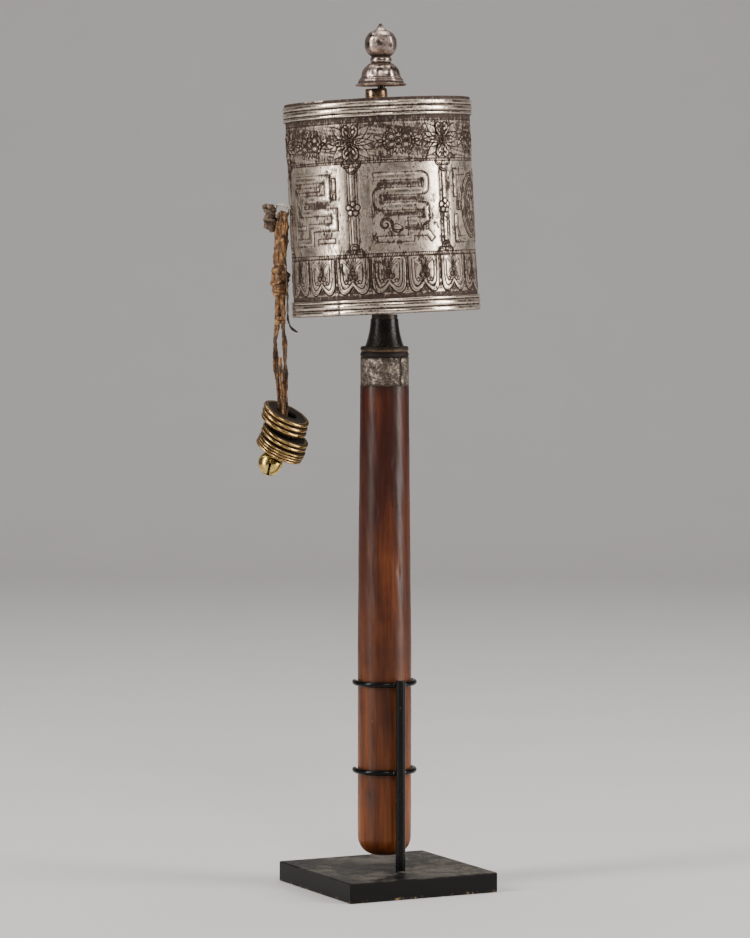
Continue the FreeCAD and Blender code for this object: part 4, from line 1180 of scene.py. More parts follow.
def flower(band, s):
    """Flower of the upper border: curled petals up and down, broad pointed leaves, and a knobbed stem."""
    at = (s, FLOWER_MIDDLE)
    for spin, long, wide in ((14, 9.6, 2.7), (60, 7.9, 2.8), (36, 10.3, 3.5)):
        for sign_x, sign_y in ((1, 1), (-1, 1), (1, -1), (-1, -1)):
            turn = np.array([sign_x, sign_y])
            outline = turned_by(leaf(long, wide, 0.7), spin) * turn
            spine = turned_by(np.array([(2.2, 0.05), (long * 0.55, 0.2), (long * 0.94, 0.6)]), spin) * turn
            veined_leaf(band, at, outline, spine, 2 if wide > 3 else 1)
    for sign in (1, -1):
        spear = smooth([(0.8, 0), (2.6, 1.2), (5.4, 1.25), (8.0, 0.5), (9.9, 0)])
        spear = np.vstack([spear, (spear * (1, -1))[::-1]]) * (sign, 1)
        veined_leaf(band, at, spear, np.array([(2.4, 0), (5.0, 0), (8.6, 0)]) * (sign, 1), 1)
        for mirror in (1, -1):
            petal = smooth([(0.3, 0.9), (2.2, 2.0), (3.35, 3.9), (3.05, 5.9), (1.85, 6.85), (0.75, 6.3),
                            (0.75, 5.2), (1.5, 4.9), (1.9, 5.5)]) * (mirror, sign)
            inner = smooth([(0.5, 1.5), (1.6, 2.7), (2.3, 4.1), (2.15, 5.2)]) * (mirror, sign)
            body = smooth([(0.3, 0.9), (2.2, 2.0), (3.35, 3.9), (3.05, 5.9), (1.85, 6.85), (0.9, 6.2),
                           (0.9, 4.0), (0.3, 0.9)]) * (mirror, sign)
            band.swell(at, body, 0.26, 0.8)
            band.groove(at, petal, 0.50)
            band.groove(at, inner, 0.34, stain=0.8)
        band.drawn(at, ring_points(0, 3.0 * sign, 0.75, 1.25), 0.2, 0.6, width=0.34)
    band.drawn(at, ring_points(0, 0, 1.55), 0.34, 0.9, width=0.52, stain=1.0)
    band.groove(at, ring_points(0, 0, 0.85), 0.34)


def crossed_motif(band, s):
    """Motif between two flowers: ringed boss, lobed loops at each side and a beaded crescent beyond them."""
    at = (s, FLOWER_MIDDLE)
    for sign in (1, -1):
        for share, width in ((1.0, 0.48), (0.62, 0.34)):
            for up in (1, -1):
                loop = ring_points(2.9 * sign, 1.55 * up, 1.85 * share, 1.5 * share)
                if share == 1.0:
                    band.swell(at, loop, 0.24, 0.7)
                band.groove(at, loop, width)
        crescent = np.vstack([ring_points(2.6, 0, 3.9, 4.4, -68, 68, 25),
                              ring_points(1.8, 0, 3.4, 3.5, 62, -62, 25)])
        band.drawn(at, crescent * (sign, 1), 0.26, 0.5, width=0.44)
        for angle in range(-52, 53, 26):
            x, y = 2.3 + 3.65 * math.cos(math.radians(angle)), 3.95 * math.sin(math.radians(angle))
            band.groove(at, ring_points(x * sign, y, 0.42, count=13), 0.26)
        for up in (1, -1):
            band.groove(at, curl(3.9, 4.6, 1.25, 0.25, -120, 1.1) * (sign, up), 0.38)
            spray, spine = (turned_by(line, 24) * (sign, up) + (6.0 * sign, 0)
                            for line in (leaf(4.4, 1.9, 0.5), [(0.8, 0), (3.8, 0.3)]))
            veined_leaf(band, at, spray, spine, 1)
        knob = ring_points(7.3 * sign, 0, 0.75)
        band.drawn(at, knob, 0.2, 0.5, width=0.38)
        for angle in (62, 78, 102, 118):
            tuft = turned_by(leaf(3.0, 0.9), angle * sign) + turned_by(np.array([(2.6, 0)]), angle * sign)
            band.drawn(at, tuft, 0.16, 0.5, width=0.30)
    band.drawn(at, ring_points(0, 0, 1.5), 0.32, 0.9, width=0.52, stain=1.0)
    band.groove(at, ring_points(0, 0, 0.8), 0.32)


def pilaster(band, s):
    """Raised strip between double lines, with a rosette half way and lobed half flowers at the ends."""
    half = (PANEL_TOP - ROPE_HIGH) / 2
    at = (s, PANEL_MIDDLE)
    strip = np.array([(-1.05, -half), (1.05, -half), (1.05, half), (-1.05, half), (-1.05, -half)])
    band.drawn(at, strip, 0.26, 0.6, width=0.36)
    for x in (-2.1, 2.1):
        band.groove(at, [(x, -half), (x, half)], 0.34)
        band.groove(at, [(x * 1.28, -half), (x * 1.28, half)], 0.18, 0.05, 0.4)
    for sign in (1, -1):
        foot = (s, PANEL_MIDDLE + sign * half)
        lobes = ((-2.2, 0.2, 1.8), (2.2, 0.2, 1.8), (0.0, -1.9, 2.0))
        for x, y, size in lobes:
            band.swell(foot, ring_points(x, y, size, start=175, end=365) * (1, sign), 0.22, 0.7)
        for share, width in ((1.0, 0.46), (0.62, 0.34)):
            for x, y, size in lobes:
                low, high = (190, 350) if x == 0 else (150, 300) if x < 0 else (240, 390)
                arc = ring_points(x, y, size * share, start=low, end=high, count=19)
                band.groove(foot, arc * (1, sign), width)
        band.drawn(foot, ring_points(0, -0.7, 0.8) * (1, sign), 0.2, 0.5, width=0.34)
    for number in range(5):
        angle = math.radians(72 * number + 90)
        lobe = ring_points(1.75 * math.cos(angle), 1.75 * math.sin(angle), 1.25, count=21)
        band.drawn(at, lobe, 0.26, 0.6, width=0.44, stain=1.0)
    band.drawn(at, ring_points(0, 0, 0.85), 0.28, 0.6, width=0.38, stain=1.0)


def fret_band(band, at, line, half=1.5, corner=0.0):
    """A raised band along a line with a double outline."""
    line = rounded(line, corner) if corner else np.array(line, float)
    band.swell(at, band_outline(line, half), 0.20, 0.6)
    band.groove(at, band_outline(line, half), 0.50)
    band.groove(at, band_outline(line, half - 0.6), 0.26, 0.06, 0.4)


def hatched_bar(band, at, left, right, low, high):
    """A dark sunk bar crossed by short strokes."""
    bar = np.array([(left, low), (right, low), (right, high), (left, high), (left, low)])
    band.shade(at, bar, 0.9, 0.2)
    band.groove(at, bar, 0.42, stain=0.9)
    x = left + 0.9
    while x < right - 0.7:
        for way in (0.4, -0.4):
            band.groove(at, [(x - way, low + 0.35), (x + way, high - 0.35)], 0.28, 0.04, 0.5, 0.2)
        x += 1.25


def cloud_scroll(band, at, x, y, size):
    """A cloud curl with a double line and a tail."""
    for share, width in ((1.0, 0.5), (0.70, 0.36)):
        spiral = curl(0, 0, size * share, size * 0.16 * share, -40, 1.35)
        tail = smooth([(size * share * 0.77, -size * share * 0.64), (size * 1.35, -size * 0.95 * share),
                       (size * 2.1, -size * 0.62)])
        band.groove(at, spiral + (x, y), width)
        band.groove(at, tail + (x, y), width)


def panel_ground(band, at, across, up):
    """Dirt left round and between the frets of a panel."""
    band.shade(at, [(-across, -up), (across, -up), (across, up), (-across, up)], 0.50, 1.2)


def key_panel(band, s):
    """Key fret of stepped bars with thin double outlines and one dark hatched bar."""
    at = (s, PANEL_MIDDLE)
    panel_ground(band, at, 13.4, 14.4)
    key = [(-11.4, 12.4), (8.2, 12.4), (8.2, 4.6), (-6.2, 4.6), (-6.2, -0.6), (11.2, -0.6), (11.2, -6.6),
           (-1.2, -6.6), (-1.2, -12.2), (-11.4, -12.2)]
    fret_band(band, at, key, 1.5)
    for ends in (((11.4, 12.4), (11.4, 4.0)), ((-11.0, 8.4), (4.6, 8.4)), ((-11.0, -6.4), (-4.6, -6.4)),
                 ((2.6, -12.0), (11.2, -12.0))):
        fret_band(band, at, ends, 0.9)
    hatched_bar(band, at, -2.4, 7.4, 1.3, 2.5)


def meander_panel(band, s):
    """Meander of level bars with dark hatched slots between them, a curl, a leaf and a flared foot."""
    at = (s, PANEL_MIDDLE)
    panel_ground(band, at, 13.0, 14.2)
    bars = [(-10.6, 12.2), (10.3, 12.2), (10.3, 6.3), (-9.6, 6.3), (-9.6, 0.4), (10.3, 0.4), (10.3, -5.6),
            (2.2, -5.6)]
    fret_band(band, at, bars, 1.55, 1.6)
    fret_band(band, at, [(-10.2, -12.3), (3.4, -12.3), (3.4, -10.2), (10.6, -10.2), (12.9, -13.0)], 1.2)
    for bar in ((-9.0, 7.2, 8.7, 9.8), (-6.4, 9.2, 2.8, 3.9), (-6.7, 7.2, -3.2, -2.0),
                (1.2, 8.8, -8.5, -7.7)):
        hatched_bar(band, at, *bar)
    cloud_scroll(band, at, -6.6, -6.6, 3.3)
    outline, spine = (turned_by(line, -12) + (-4.4, -7.2) for line in (leaf(5.0, 2.2), [(1.0, 0), (4.2, 0)]))
    veined_leaf(band, at, outline, spine, 1)


def medallion_panel(band, s):
    """Nested ovals between small key brackets."""
    at = (s, PANEL_MIDDLE)
    panel_ground(band, at, 13.4, 14.2)
    band.swell(at, ring_points(0, 0, 8.6, 12.8, count=61), 0.20, 0.8)
    for across, up, width in ((8.6, 12.8, 0.52), (7.7, 11.9, 0.28), (5.3, 8.5, 0.48), (4.5, 7.6, 0.26)):
        band.groove(at, ring_points(0, 0, across, up, count=61), width)
    ring = np.vstack([ring_points(0, 0, 7.2, 11.4, count=61), ring_points(0, 0, 5.7, 8.9, 360, 0, 61)])
    band.shade(at, ring, 0.95, 0.3)
    band.shade(at, ring_points(0, 0, 4.2, 7.2, count=41), 0.8, 0.4)
    band.drawn(at, ring_points(0, 0, 1.7, 2.8), 0.26, 0.8, width=0.48, stain=1.0)
    for number in range(8):
        angle = math.radians(45 * number + 22.5)
        bead = ring_points(2.9 * math.cos(angle), 5.0 * math.sin(angle), 0.85, 1.2, count=17)
        band.drawn(at, bead, 0.2, 0.5, width=0.36)
    for sign_x in (1, -1):
        for sign_y in (1, -1):
            bracket = np.array([(12.6, 3.4), (12.6, 13.2), (5.6, 13.2)]) * (sign_x, sign_y)
            fret_band(band, at, bracket, 1.2)
        hatched_bar(band, at, sign_x * 11.2 - 0.8, sign_x * 11.2 + 0.8, -1.8, 1.8)


def nicks(band, count, seed, longest=2.6, widest=0.16, dark=0.15):
    """Short scratches or pits, most of them nearly upright."""
    rng = np.random.default_rng(seed)
    top = band.heights[-1]
    for _ in range(count):
        length, angle = rng.uniform(0.4, longest), rng.normal(1.5, 0.4)
        way = np.array([math.cos(angle), math.sin(angle)]) * length
        at = (rng.uniform(0, ROUND), rng.uniform(band.low + 0.5, top - longest - 0.5))
        line = [(0, 0), way * 0.5 + rng.normal(0, 0.05, 2), way]
        band.groove(at, line, rng.uniform(0.4, 1.0) * widest, 0.03, dark, 0.3)


def drum_shell():
    """The chased shell in three bands, each with its engraved lines."""
    petals = Chasing("petal_band", RIM_BOTTOM_HIGH - 0.3, ROPE_HIGH, 0.25)
    petals.ground(0.30, 2, PETAL_FOOT)
    for number in range(PETALS):
        lotus_petal(petals, along(PETAL_AZIMUTH + number * 360 / PETALS))
    petals.stain = np.maximum(petals.stain, unit((PETAL_FOOT + 0.6 - petals.heights) / 0.7)[:, None])
    nicks(petals, 120, 9, 1.2, 0.4, 0.8)
    rope_border(petals, ROPE_LOW, ROPE_HIGH - 0.05, 0.95, 0.5)

    panels = Chasing("panel_band", ROPE_HIGH, PANEL_TOP, 0.3)
    panels.ground(0.22, 4)
    designs = (key_panel, meander_panel, medallion_panel)
    for number in range(PILASTERS):
        azimuth = PILASTER_AZIMUTH + number * 360 / PILASTERS
        designs[(number + 1) % len(designs)](panels, along(azimuth + 180 / PILASTERS))
        pilaster(panels, along(azimuth))
    nicks(panels, 420, 3)
    nicks(panels, 190, 6, 1.5, 0.45, 0.9)

    flowers = Chasing("flower_band", PANEL_TOP, RIM_TOP_LOW + 0.3, 0.25)
    flowers.ground(0.85, 7, FLOWER_LOW, FLOWER_HIGH)
    for number in range(PILASTERS):
        azimuth = PILASTER_AZIMUTH + number * 360 / PILASTERS
        flower(flowers, along(azimuth))
        crossed_motif(flowers, along(azimuth + 180 / PILASTERS))
    ground = unit((flowers.heights - FLOWER_HIGH - 0.3) / 0.8)[:, None]
    flowers.stain = np.maximum(flowers.stain, 0.95 * ground)
    nicks(flowers, 90, 15, 1.2, 0.4, 0.8)
    rope_border(flowers, PANEL_TOP + 0.1, FLOWER_LOW, 0.85, 0.35, 0.26)
    dots = round(ROUND / 0.85)
    for number in range(dots):
        flowers.drawn((number * ROUND / dots, (FLOWER_HIGH + DOTS_HIGH) / 2), ring_points(0, 0, 0.3, count=9),
                      0.16, 0.3, width=0.16)

    for band, nodes in ((petals, ["drum_shell"]), (panels, []), (flowers, [])):
        band.relief[[0, -1]] = 0
        belongs(band.surface(), "drum", "silver", *nodes)
        belongs(band.ribbons(), "drum", "silver")


RIM_ROOT = 37.0
RIM_SWELL = 0.88
BEADS = (2.3, 2.5, 1.4)
RIM_STEPS = 900
RIM_LIP = 1.0
DRUM_HEIGHT = 84.5
BUTT_SEAM = math.radians(213.9 - WEIGHT_AZIMUTH)
# Direction from +X in degrees and half width in millimetres of each slot.
LIP_SLOTS = ((196.0, 2.0), (203.5, 1.2), (207.0, 0.9))


def bead_profile(low, beads):
    """Half-round beads, stacked upward from low."""
    points = []
    for bead in beads:
        for angle in np.linspace(0, math.pi, 15):
            points.append((RIM_ROOT + RIM_SWELL * math.sin(angle), low + bead * (1 - math.cos(angle)) / 2))
        low += bead
    return points


def rim_stain(radius, height, angle):
    """Dirt between the beads."""
    hollow = unit(1 - (radius - RIM_ROOT) / RIM_SWELL)
    return unit(hollow ** 1.2 * 2.0 + 0.2 * unit(waves(angle, height * 0.5, 5, (3, 8, 15))))


def rims():
    """Beaded rims, the lower one with its butt seam and the upper one with worn slots in its lip."""
    inner = SHELL_RADIUS - 0.2

    def bottom_change(radius, height, angle):
        near = turn_from(BUTT_SEAM, angle)
        step = np.where((near > 0) & (near < 0.5), -0.14 * np.exp(-near / 0.12), 0)
        cut = -0.5 * hump(near, 0, 0.0045)
        share = unit((radius - RIM_ROOT) / RIM_SWELL)
        return (radius + share * (step + cut + 0.05 * waves(angle, height * 0.4, 8)),
                height + 0.05 * waves(angle, height * 0, 9))

    profile = joined([(inner, 0)], bead_profile(0, BEADS), [(inner, sum(BEADS))])
    piece = lathe("bottom_rim_beads", DRUM, profile, "rim_silver", RIM_STEPS, bottom_change, rim_stain,
                  closed=True, sharp=60)
    belongs(piece, "drum", "silver", "bottom_rim")

    def top_change(radius, height, angle):
        share = unit((radius - RIM_ROOT) / RIM_SWELL)
        lip = height > DRUM_HEIGHT - 0.4
        drop = np.zeros_like(height)
        for azimuth, wide in LIP_SLOTS:
            near = turn_from(math.radians(azimuth - WEIGHT_AZIMUTH), angle) * SHELL_RADIUS
            drop += 0.55 / (1 + np.exp((np.abs(near) - wide) * 6))
        return (radius + share * 0.05 * waves(angle, height * 0.4, 12),
                np.where(lip, height - drop, height))

    low = DRUM_HEIGHT - RIM_LIP - sum(BEADS)
    lip = [(RIM_ROOT + 0.1, DRUM_HEIGHT - 0.2), (RIM_ROOT - 0.1, DRUM_HEIGHT), (inner, DRUM_HEIGHT)]
    profile = joined([(inner, low)], bead_profile(low, BEADS[::-1]), lip)
    piece = lathe("top_rim_beads", DRUM, profile, "rim_silver", RIM_STEPS, top_change, rim_stain,
                  closed=True, sharp=60)
    belongs(piece, "drum", "silver", "top_rim")


drum_shell()
rims()


# --- Finial and collar ---

BORE = 1.54
COLLAR_TOP = 89.6


def view_angle(right, front):
    """Angle in the handle's frame of a direction given by its parts to the camera's right and towards it."""
    way = CAMERA_RIGHT * right + TOWARDS_CAMERA * front
    return math.atan2(way.y, way.x) - math.radians(WEIGHT_AZIMUTH)


BUD_DENT = view_angle(0.62, 0.78)


def finial():
    """Lathe-turned canopy, neck ring and bud, worn uneven, with painted shade under the canopy."""
    def worn(amount, seed, facets=0):
        def change(radius, height, angle):
            flat = 0.018 * np.cos(facets * angle) * radius if facets else 0
            return radius + amount * waves(angle, height * 0.8, seed) * (radius > BORE + 0.2) + flat, height
        return change

    dome = joined(
        [(BORE, 322.95), (7.5, 322.95)],
        bulge((7.5, 322.95), (9.7, 321.05), -0.2),
        bulge((9.7, 321.05), (10.3, 321.65), 0.12),
        bulge((10.3, 321.65), (8.9, 323.2), -0.35),
        bulge((8.9, 323.2), (8.75, 323.75), 0.14, 6),
        [(8.35, 323.8)],
        bulge((8.35, 323.85), (8.2, 324.35), 0.12, 6),
        [(7.85, 324.4)],
        bulge((7.85, 324.45), (4.3, 330.1), 1.0, 16),
        [(BORE, 330.1)],
    )

    def dome_stain(radius, height, angle):
        # Painted shade on the canopy's underside, below 323 mm and inside 9.4 mm; patina in its grooves and
        # at the neck ring.
        return unit(np.where(height < 323.0, 0.8 * (radius < 9.4), 0)
                       + 0.9 * hump(height, 323.82, 0.14)
                       + 0.9 * hump(height, 324.4, 0.14)
                       + 0.8 * hump(height, 330.1, 0.5)
                       + 0.45 * unit(waves(angle, height * 0.6, 24, (1, 2, 4))))

    piece = lathe("canopy_turned", AXLE, dome, "finial_silver", 224, worn(0.05, 21, 9), dome_stain,
                  closed=True)
    belongs(piece, "finial", "silver", "canopy_dome")

    ring = joined([(BORE, 330.1), (3.75, 330.1)], bulge((3.75, 330.1), (3.75, 332.7), 0.6, 14),
                  [(BORE, 332.7)])

    def ring_stain(radius, height, angle):
        return unit(1.6 - (radius - 3.75) / 0.22)

    piece = lathe("neck_ring_turned", AXLE, ring, "finial_silver", 160, worn(0.04, 23), ring_stain,
                  closed=True)
    belongs(piece, "finial", "silver", "finial_neck_ring")

    bud = joined(
        [(BORE, 332.72), (3.6, 332.72)],
        bulge((3.6, 332.72), (6.3, 338.2), 0.92, 14),
        bulge((6.3, 338.2), (3.9, 342.6), 0.62, 12),
        bulge((3.9, 342.6), (0.55, 345.7), -0.55, 10),
        [(0.3, 345.9), (0.0, 345.98)],
    )

    def bud_stain(radius, height, angle):
        dent = turn_from(BUD_DENT, angle) * 6
        return unit(hump(height, 345.9, 1.6) + 0.95 * hump(height, 332.9, 0.9)
                       + np.exp(-((dent / 0.5) ** 2 + ((height - 337.0) / 0.55) ** 2))
                       + 0.5 * unit(waves(angle, height * 0.5, 26, (1, 2, 3))))

    piece = lathe("bud_turned", AXLE, bud, "finial_silver", 192, worn(0.05, 27, 8), bud_stain, sharp=50)
    belongs(piece, "finial", "silver", "finial_bud")


def collar():
    """Brass collar on the top lid."""
    profile = joined([(3.87, 83.8), (4.15, 83.8), (4.15, 84.8)],
                     bulge((4.15, 84.8), (4.15, COLLAR_TOP), 0.28, 14), [(3.87, COLLAR_TOP)])

    def change(radius, height, angle):
        return radius + 0.05 * waves(angle, height, 31) * (radius > 4.0), height

    def stain(radius, height, angle):
        return unit(0.9 * hump(height, COLLAR_TOP, 0.9) + 0.9 * hump(height, 84.3, 0.8)
                       + 0.8 * unit(waves(angle, height * 0.4, 33, (1, 2, 3))))

    piece = lathe("collar_turned", DRUM, profile, "collar_brass", 128, change, stain, closed=True)
    belongs(piece, "drum", "collar_brass", "top_collar")


finial()
collar()


# --- Handle ---

LAP_SEAM = math.radians(285.4 - WEIGHT_AZIMUTH)
FERRULE_LOW, FERRULE_TOP = (corner[2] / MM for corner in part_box("ferrule"))
RING_SPLIT, RING_TOP = (corner[2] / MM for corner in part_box("upper_moulding_ring"))
GRIP_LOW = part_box("handle_grip")[0][2] / MM
GRIP_RADIUS = 10.8
FOOT_ROUND = 7.4
TAPER_START = 98
TENON_RADIUS = 9.0
RING_BORE = 5.05


def grip():
    """Turned grip with a rounded foot, slightly uneven from long use."""
    straight = np.linspace(GRIP_LOW + FOOT_ROUND, TAPER_START, 60)
    taper = np.linspace(TAPER_START, FERRULE_LOW, 70)
    shoulder = FERRULE_LOW + 0.15
    profile = joined(
        [(0.02, GRIP_LOW)],
        [(GRIP_RADIUS - FOOT_ROUND * (1 - math.sin(a)), GRIP_LOW + FOOT_ROUND * (1 - math.cos(a)))
         for a in np.linspace(0, math.pi / 2, 16)],
        [(GRIP_RADIUS, z) for z in straight],
        [(GRIP_RADIUS - (z - TAPER_START) / (FERRULE_LOW - TAPER_START), z) for z in taper],
        [(9.55, shoulder), (TENON_RADIUS, shoulder), (TENON_RADIUS, FERRULE_TOP), (1.6, FERRULE_TOP)],
    )

    def change(radius, height, angle):
        uneven = 0.09 * waves(angle, height * 0.045, 41) - 0.03
        dents = sum(-deep * np.exp(-((turn_from(turn, angle) * 10 / wide) ** 2
                                     + ((height - level) / tall) ** 2))
                    for turn, level, deep, wide, tall in DENTS)
        return radius + (uneven + dents) * (radius > 3) * (height < FERRULE_LOW - 0.2), height

    def stain(radius, height, angle):
        near = turn_from(KNOT_AT[0], angle) * 10
        rings = 0.6 * np.exp(-((near / 2.2) ** 2 + ((height - KNOT_AT[1]) / 3.4) ** 2))
        top = 0.8 * unit((height - FERRULE_LOW + 7) / 7) ** 2
        foot = 0.5 * unit((GRIP_LOW + 6 - height) / 6)
        return unit(rings + top + foot)

    piece = lathe("grip_turned", HANDLE, profile, "wood", 160, change, stain, sharp=50)
    belongs(piece, "handle", "grip_wood", "handle_grip")


KNOT_AT = (view_angle(-0.55, 0.83), 37.0)
DENTS = [
    (view_angle(0.35, 0.94), 170.0, 0.25, 0.6, 1.2),
    (view_angle(-0.30, 0.95), 152.0, 0.22, 0.5, 2.2),
    (view_angle(-0.65, 0.75), 120.0, 0.22, 0.6, 1.0),
    (view_angle(0.10, 0.99), 110.0, 0.20, 0.9, 0.8),
    (view_angle(0.55, 0.83), 128.0, 0.22, 0.5, 1.5),
    (view_angle(-0.20, 0.98), 64.0, 0.22, 0.7, 0.9),
    (view_angle(-0.60, 0.80), 37.0, 0.30, 1.2, 1.4),
]


def ferrule_and_rings():
    """Pitted silver sleeve with a lapped seam, and the two turned rings above it."""
    levels = np.linspace(FERRULE_LOW, FERRULE_TOP, 46)
    profile = joined([(9.02, FERRULE_LOW)], [(9.62, z) for z in levels], [(9.02, FERRULE_TOP)])

    def change(radius, height, angle):
        near = turn_from(LAP_SEAM, angle) * 9.7
        lap = 0.26 / (1 + np.exp(-near * 9)) * hump(near, 0, 8)
        lap = lap - 0.22 * np.exp(-((near + 0.2 + 0.25 * np.sin(height * 0.9)) / 0.28) ** 2)
        wavy = 0.10 * np.exp(-((near - 1.3 + 0.35 * np.sin(height * 1.1)) / 0.45) ** 2)
        pits = 0.07 * waves(angle, height * 2.4, 51, (3, 7, 12, 19))
        pits = pits + 0.05 * waves(angle, height * 6, 52, (17, 29, 41))
        return radius + (lap + wavy + pits) * (radius > 9.3), height

    def stain(radius, height, angle):
        near = turn_from(LAP_SEAM, angle) * 9.7
        seam = np.exp(-((near + 0.2 + 0.25 * np.sin(height * 0.9)) / 0.42) ** 2)
        edges = 0.8 * hump(height, FERRULE_TOP, 0.6) + 0.7 * hump(height, FERRULE_LOW, 0.8)
        return unit(seam * 1.2 + edges + 0.3 * waves(angle, height * 1.6, 53, (2, 5, 9)))

    piece = lathe("ferrule_sleeve", HANDLE, profile, "ferrule", 360, change, stain, closed=True, sharp=70)
    belongs(piece, "handle", "silver", "ferrule")

    def ring_change(seed, ragged):
        def change(radius, height, angle):
            lower = hump(height, RING_SPLIT, 0.4) * ragged
            return (radius + 0.05 * waves(angle, height, seed) * (radius > 6),
                    height + lower * 0.22 * waves(angle, height * 0, seed + 1, (4, 7, 11)))
        return change

    def ring_stain(radius, height, angle):
        gilt = np.exp(-((height - RING_SPLIT - 0.55) / 0.35) ** 2)
        return unit(0.85 - gilt + 0.3 * waves(angle, height, 65))

    for name, look, edge, swell, low, high, seed, ragged in (
            ("lower", "dark_ring", 9.3, 0.42, FERRULE_TOP, RING_SPLIT, 61, 0),
            ("upper", "gilt_ring", 9.2, 0.46, RING_SPLIT, RING_TOP, 63, 0.4)):
        profile = joined([(RING_BORE, low), (edge, low)], bulge((edge, low), (edge, high), swell, 12),
                         [(RING_BORE, high)])
        piece = lathe(name + "_ring_turned", HANDLE, profile, look, 200, ring_change(seed, ragged),
                      ring_stain, closed=True)
        belongs(piece, "handle", look, name + "_moulding_ring")


grip()
ferrule_and_rings()


# --- Weights and bell ---

STACK_UP = Vector(HANDLE.to_3x3() @ (Matrix.Rotation(math.radians(-27), 3, "Y")
                                    @ Matrix.Rotation(math.radians(-14), 3, "X") @ UP))
# Half the thickness of each washer.
WASHER_HALF = {1: 0.85, 2: 0.85, 3: 0.85, 4: 0.725, 5: 0.725, 6: 0.475, 7: 0.475, 8: 0.475, 9: 0.475}
WASHER_BORE, WASHER_RADIUS = 4.4, 10.1


def washers():
    """Coin-like rings with a raised rounded edge, a dished, dirty face and painted shade at the gaps."""
    for number, half in WASHER_HALF.items():
        node = f"weight_washer_{number}"
        matrix = frame_of(centre_of(node), STACK_UP, OUT)
        edge = half * 0.8
        side = WASHER_RADIUS - edge
        profile = joined(
            [(WASHER_BORE, -half * 0.7), (4.9, -half * 0.75), (8.1, -half * 0.75), (8.7, -half)],
            bulge((side, -half), (side, half), edge * 0.98, 13),
            [(8.7, half), (8.1, half * 0.72), (4.9, half * 0.72), (WASHER_BORE, half * 0.7)],
        )

        def change(radius, height, angle, seed=number * 7):
            out = radius > 8
            return (radius + out * (0.06 * waves(angle, height, seed) - 0.06),
                    height + 0.03 * waves(angle, height * 0, seed + 1) * half)

        def stain(radius, height, angle, seed=number * 7, half=half):
            face = unit((8.9 - radius) / 0.6)
            # Painted shade: the rim darkens towards both faces, where the gaps between washers are.
            gap = 1.1 * unit((np.abs(height) / half - 0.55) / 0.4) * (radius > 8.9)
            side = 0.3 * unit(waves(angle, height * 2, seed + 3, (2, 5, 9)))
            return unit(face + gap + side)

        piece = lathe(node + "_turned", matrix, profile, "washer_bronze", 128, change, stain,
                      closed=True, sharp=45)
        belongs(piece, "weights", "washer_bronze", node)


def spacer():
    """Rough leather disc between two washers, near black, which also paints the shade in the gap there."""
    matrix = frame_of(centre_of("leather_spacer"), STACK_UP, OUT)
    profile = joined([(4.35, -0.85)], bulge((5.5, -0.85), (5.5, 0.85), 0.4, 9), [(4.35, 0.85)])

    def change(radius, height, angle):
        return radius + 0.3 * waves(angle, height, 71) * (radius > 5), height

    piece = lathe("spacer_disc", matrix, profile, "hide_dark", 96, change, closed=True)
    belongs(piece, "weights", "spacer_leather", "leather_spacer")


BELL_UP = Vector(JOINTS["pellet_rattle"]["axis"])
BELL_AT = HANDLE @ Vector((45.6 * MM, 1.1 * MM, 170.8 * MM))


def bell_seam():
    """The folded seam round the bell's belly."""
    matrix = frame_of(BELL_AT, BELL_UP, OUT)
    profile = joined([(4.75, -0.28)], bulge((4.86, -0.28), (4.86, 0.28), 0.2, 9), [(4.75, 0.28)])
    piece = lathe("bell_seam", matrix, profile, "bell_brass", 96, closed=True)
    belongs(piece, "cord_lower", "bell_brass")


washers()
spacer()
bell_seam()


# --- Stand details and the CAD nodes that stay ---

ROD_AT = centre_of("stand_rod")
ROD_RADIUS = 1.95 * MM


def brazing():
    """Small lumps of braze where each clip meets the rod."""
    for clip in ("lower_clip", "upper_clip"):
        level = centre_of(clip).z / MM
        for number, side in enumerate((-1, 1)):
            matrix = frame_of(ROD_AT + Vector((side * ROD_RADIUS, 1.5 * MM, 0)) - UP * ROD_AT.z, UP, OUT)
            profile = [(0.02, level - 1.15), (0.55, level - 0.9), (0.85, level - 0.3), (0.85, level + 0.35),
                       (0.5, level + 0.9), (0.02, level + 1.1)]

            def change(radius, height, angle, seed=80 + number):
                return radius * (1 + 0.2 * waves(angle, height, seed)), height

            piece = lathe(f"{clip}_braze_{number + 1}", matrix, profile, "stand", 32, change)
            belongs(piece, "stand", "stand_black")


KEPT = {
    "stand_base": "base", "stand_rod": "stand", "lower_clip": "stand", "upper_clip": "stand",
    "neck": "horn", "axle": "iron", "thrust_washer": "iron",
    "bottom_lid": "plain_silver", "top_lid": "plain_silver", "bottom_bush": "collar_brass",
    "core_tube": "thread", "prayer_scroll": "paper", "scroll_cloth": "cloth", "scroll_tie_lower": "thread",
    "scroll_tie_upper": "thread", "weight_eye": "eye_wire", "eye_plate": "plain_silver",
    "bell": "bell_brass", "bell_pellet": "iron",
}


def dress_nodes():
    """Finish of the CAD nodes that are shown as they are."""
    for node, look in KEPT.items():
        for place in frame["nodes"][node].material_slots:
            place.material = LOOKS[look]


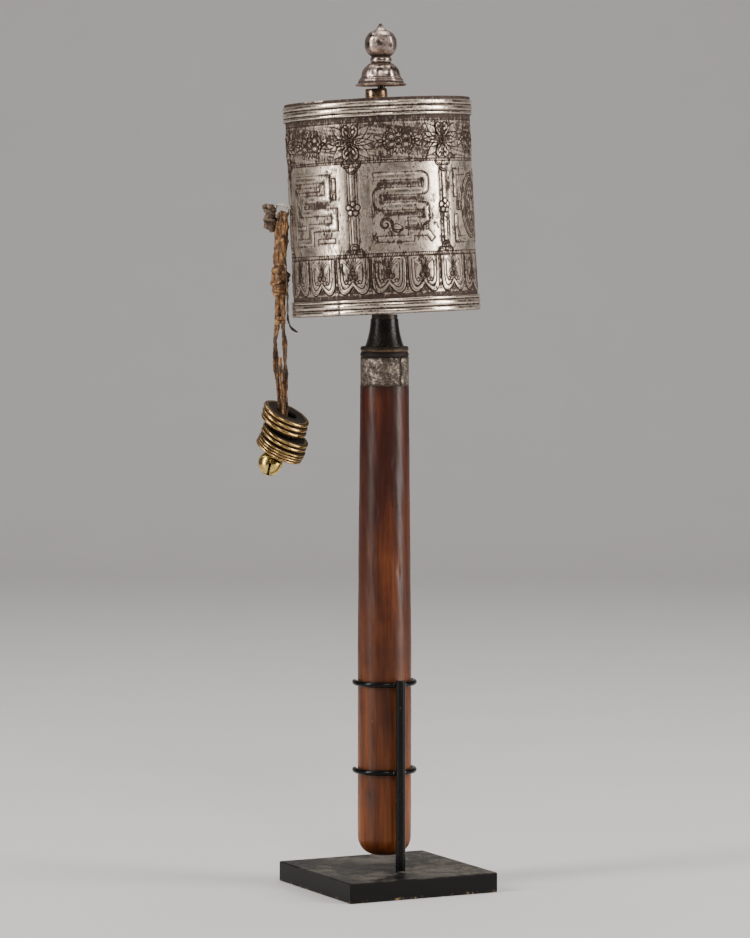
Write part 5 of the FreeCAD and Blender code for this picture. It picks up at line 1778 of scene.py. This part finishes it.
brazing()
dress_nodes()


# --- Floor and light ---

def floor():
    """Pale floor that curves up into a plain wall behind the object."""
    reach, start, bend, tall = 3.0, 1.4, 0.9, 3.2
    curve = np.linspace(0.08, math.pi / 2, 18)
    sweep = [(-reach, 0.0), (start, 0.0),
             *((start + bend * math.sin(a), bend * (1 - math.cos(a))) for a in curve),
             (start + bend, tall)]
    points = [tuple(AXIS - TOWARDS_CAMERA * away + CAMERA_RIGHT * side + UP * up)
              for away, up in sweep for side in (-reach, reach)]
    faces = [(2 * i, 2 * i + 1, 2 * i + 3, 2 * i + 2) for i in range(len(sweep) - 1)]
    mesh_piece("floor", points, faces, "floor")


WARM_WHITE = (1.0, 0.955, 0.90)
WORLD_WHITE = (0.86, 0.85, 0.84, 1)
WORLD_LIGHT = 0.07
AIM = 0.2
SOFTBOXES = (
    ("key", -1.25, 0.62, 0.75, 0.36, 1.3, 27),
    ("side", 1.25, 0.34, 0.50, 0.48, 1.3, 28),
    ("front", 0.25, 1.5, 1.3, 0.5, 0.5, 12),
    ("overhead", 0.0, -0.3, 1.5, 1.4, 1.0, 16),
)


def softbox(name, right, front, up, wide, tall, power):
    """Area light placed by its distances to the right of, towards the camera from and above the object."""
    data = bpy.data.lights.new(name, "AREA")
    data.shape = "RECTANGLE"
    data.size, data.size_y = wide, tall
    data.energy = power
    data.color = WARM_WHITE
    holder = bpy.data.objects.new(name, data)
    holder.location = AXIS + CAMERA_RIGHT * right + TOWARDS_CAMERA * front + UP * up
    way = AXIS + UP * AIM - holder.location
    holder.rotation_euler = way.to_track_quat("-Z", "Y").to_euler()
    bpy.context.scene.collection.objects.link(holder)


def lighting():
    """Soft studio light from four boxes, with a little from all round."""
    world = bpy.data.worlds.new("studio")
    world.use_nodes = True
    background = world.node_tree.nodes["Background"]
    background.inputs["Color"].default_value = WORLD_WHITE
    background.inputs["Strength"].default_value = WORLD_LIGHT
    bpy.context.scene.world = world
    for values in SOFTBOXES:
        softbox(*values)


floor()
lighting()
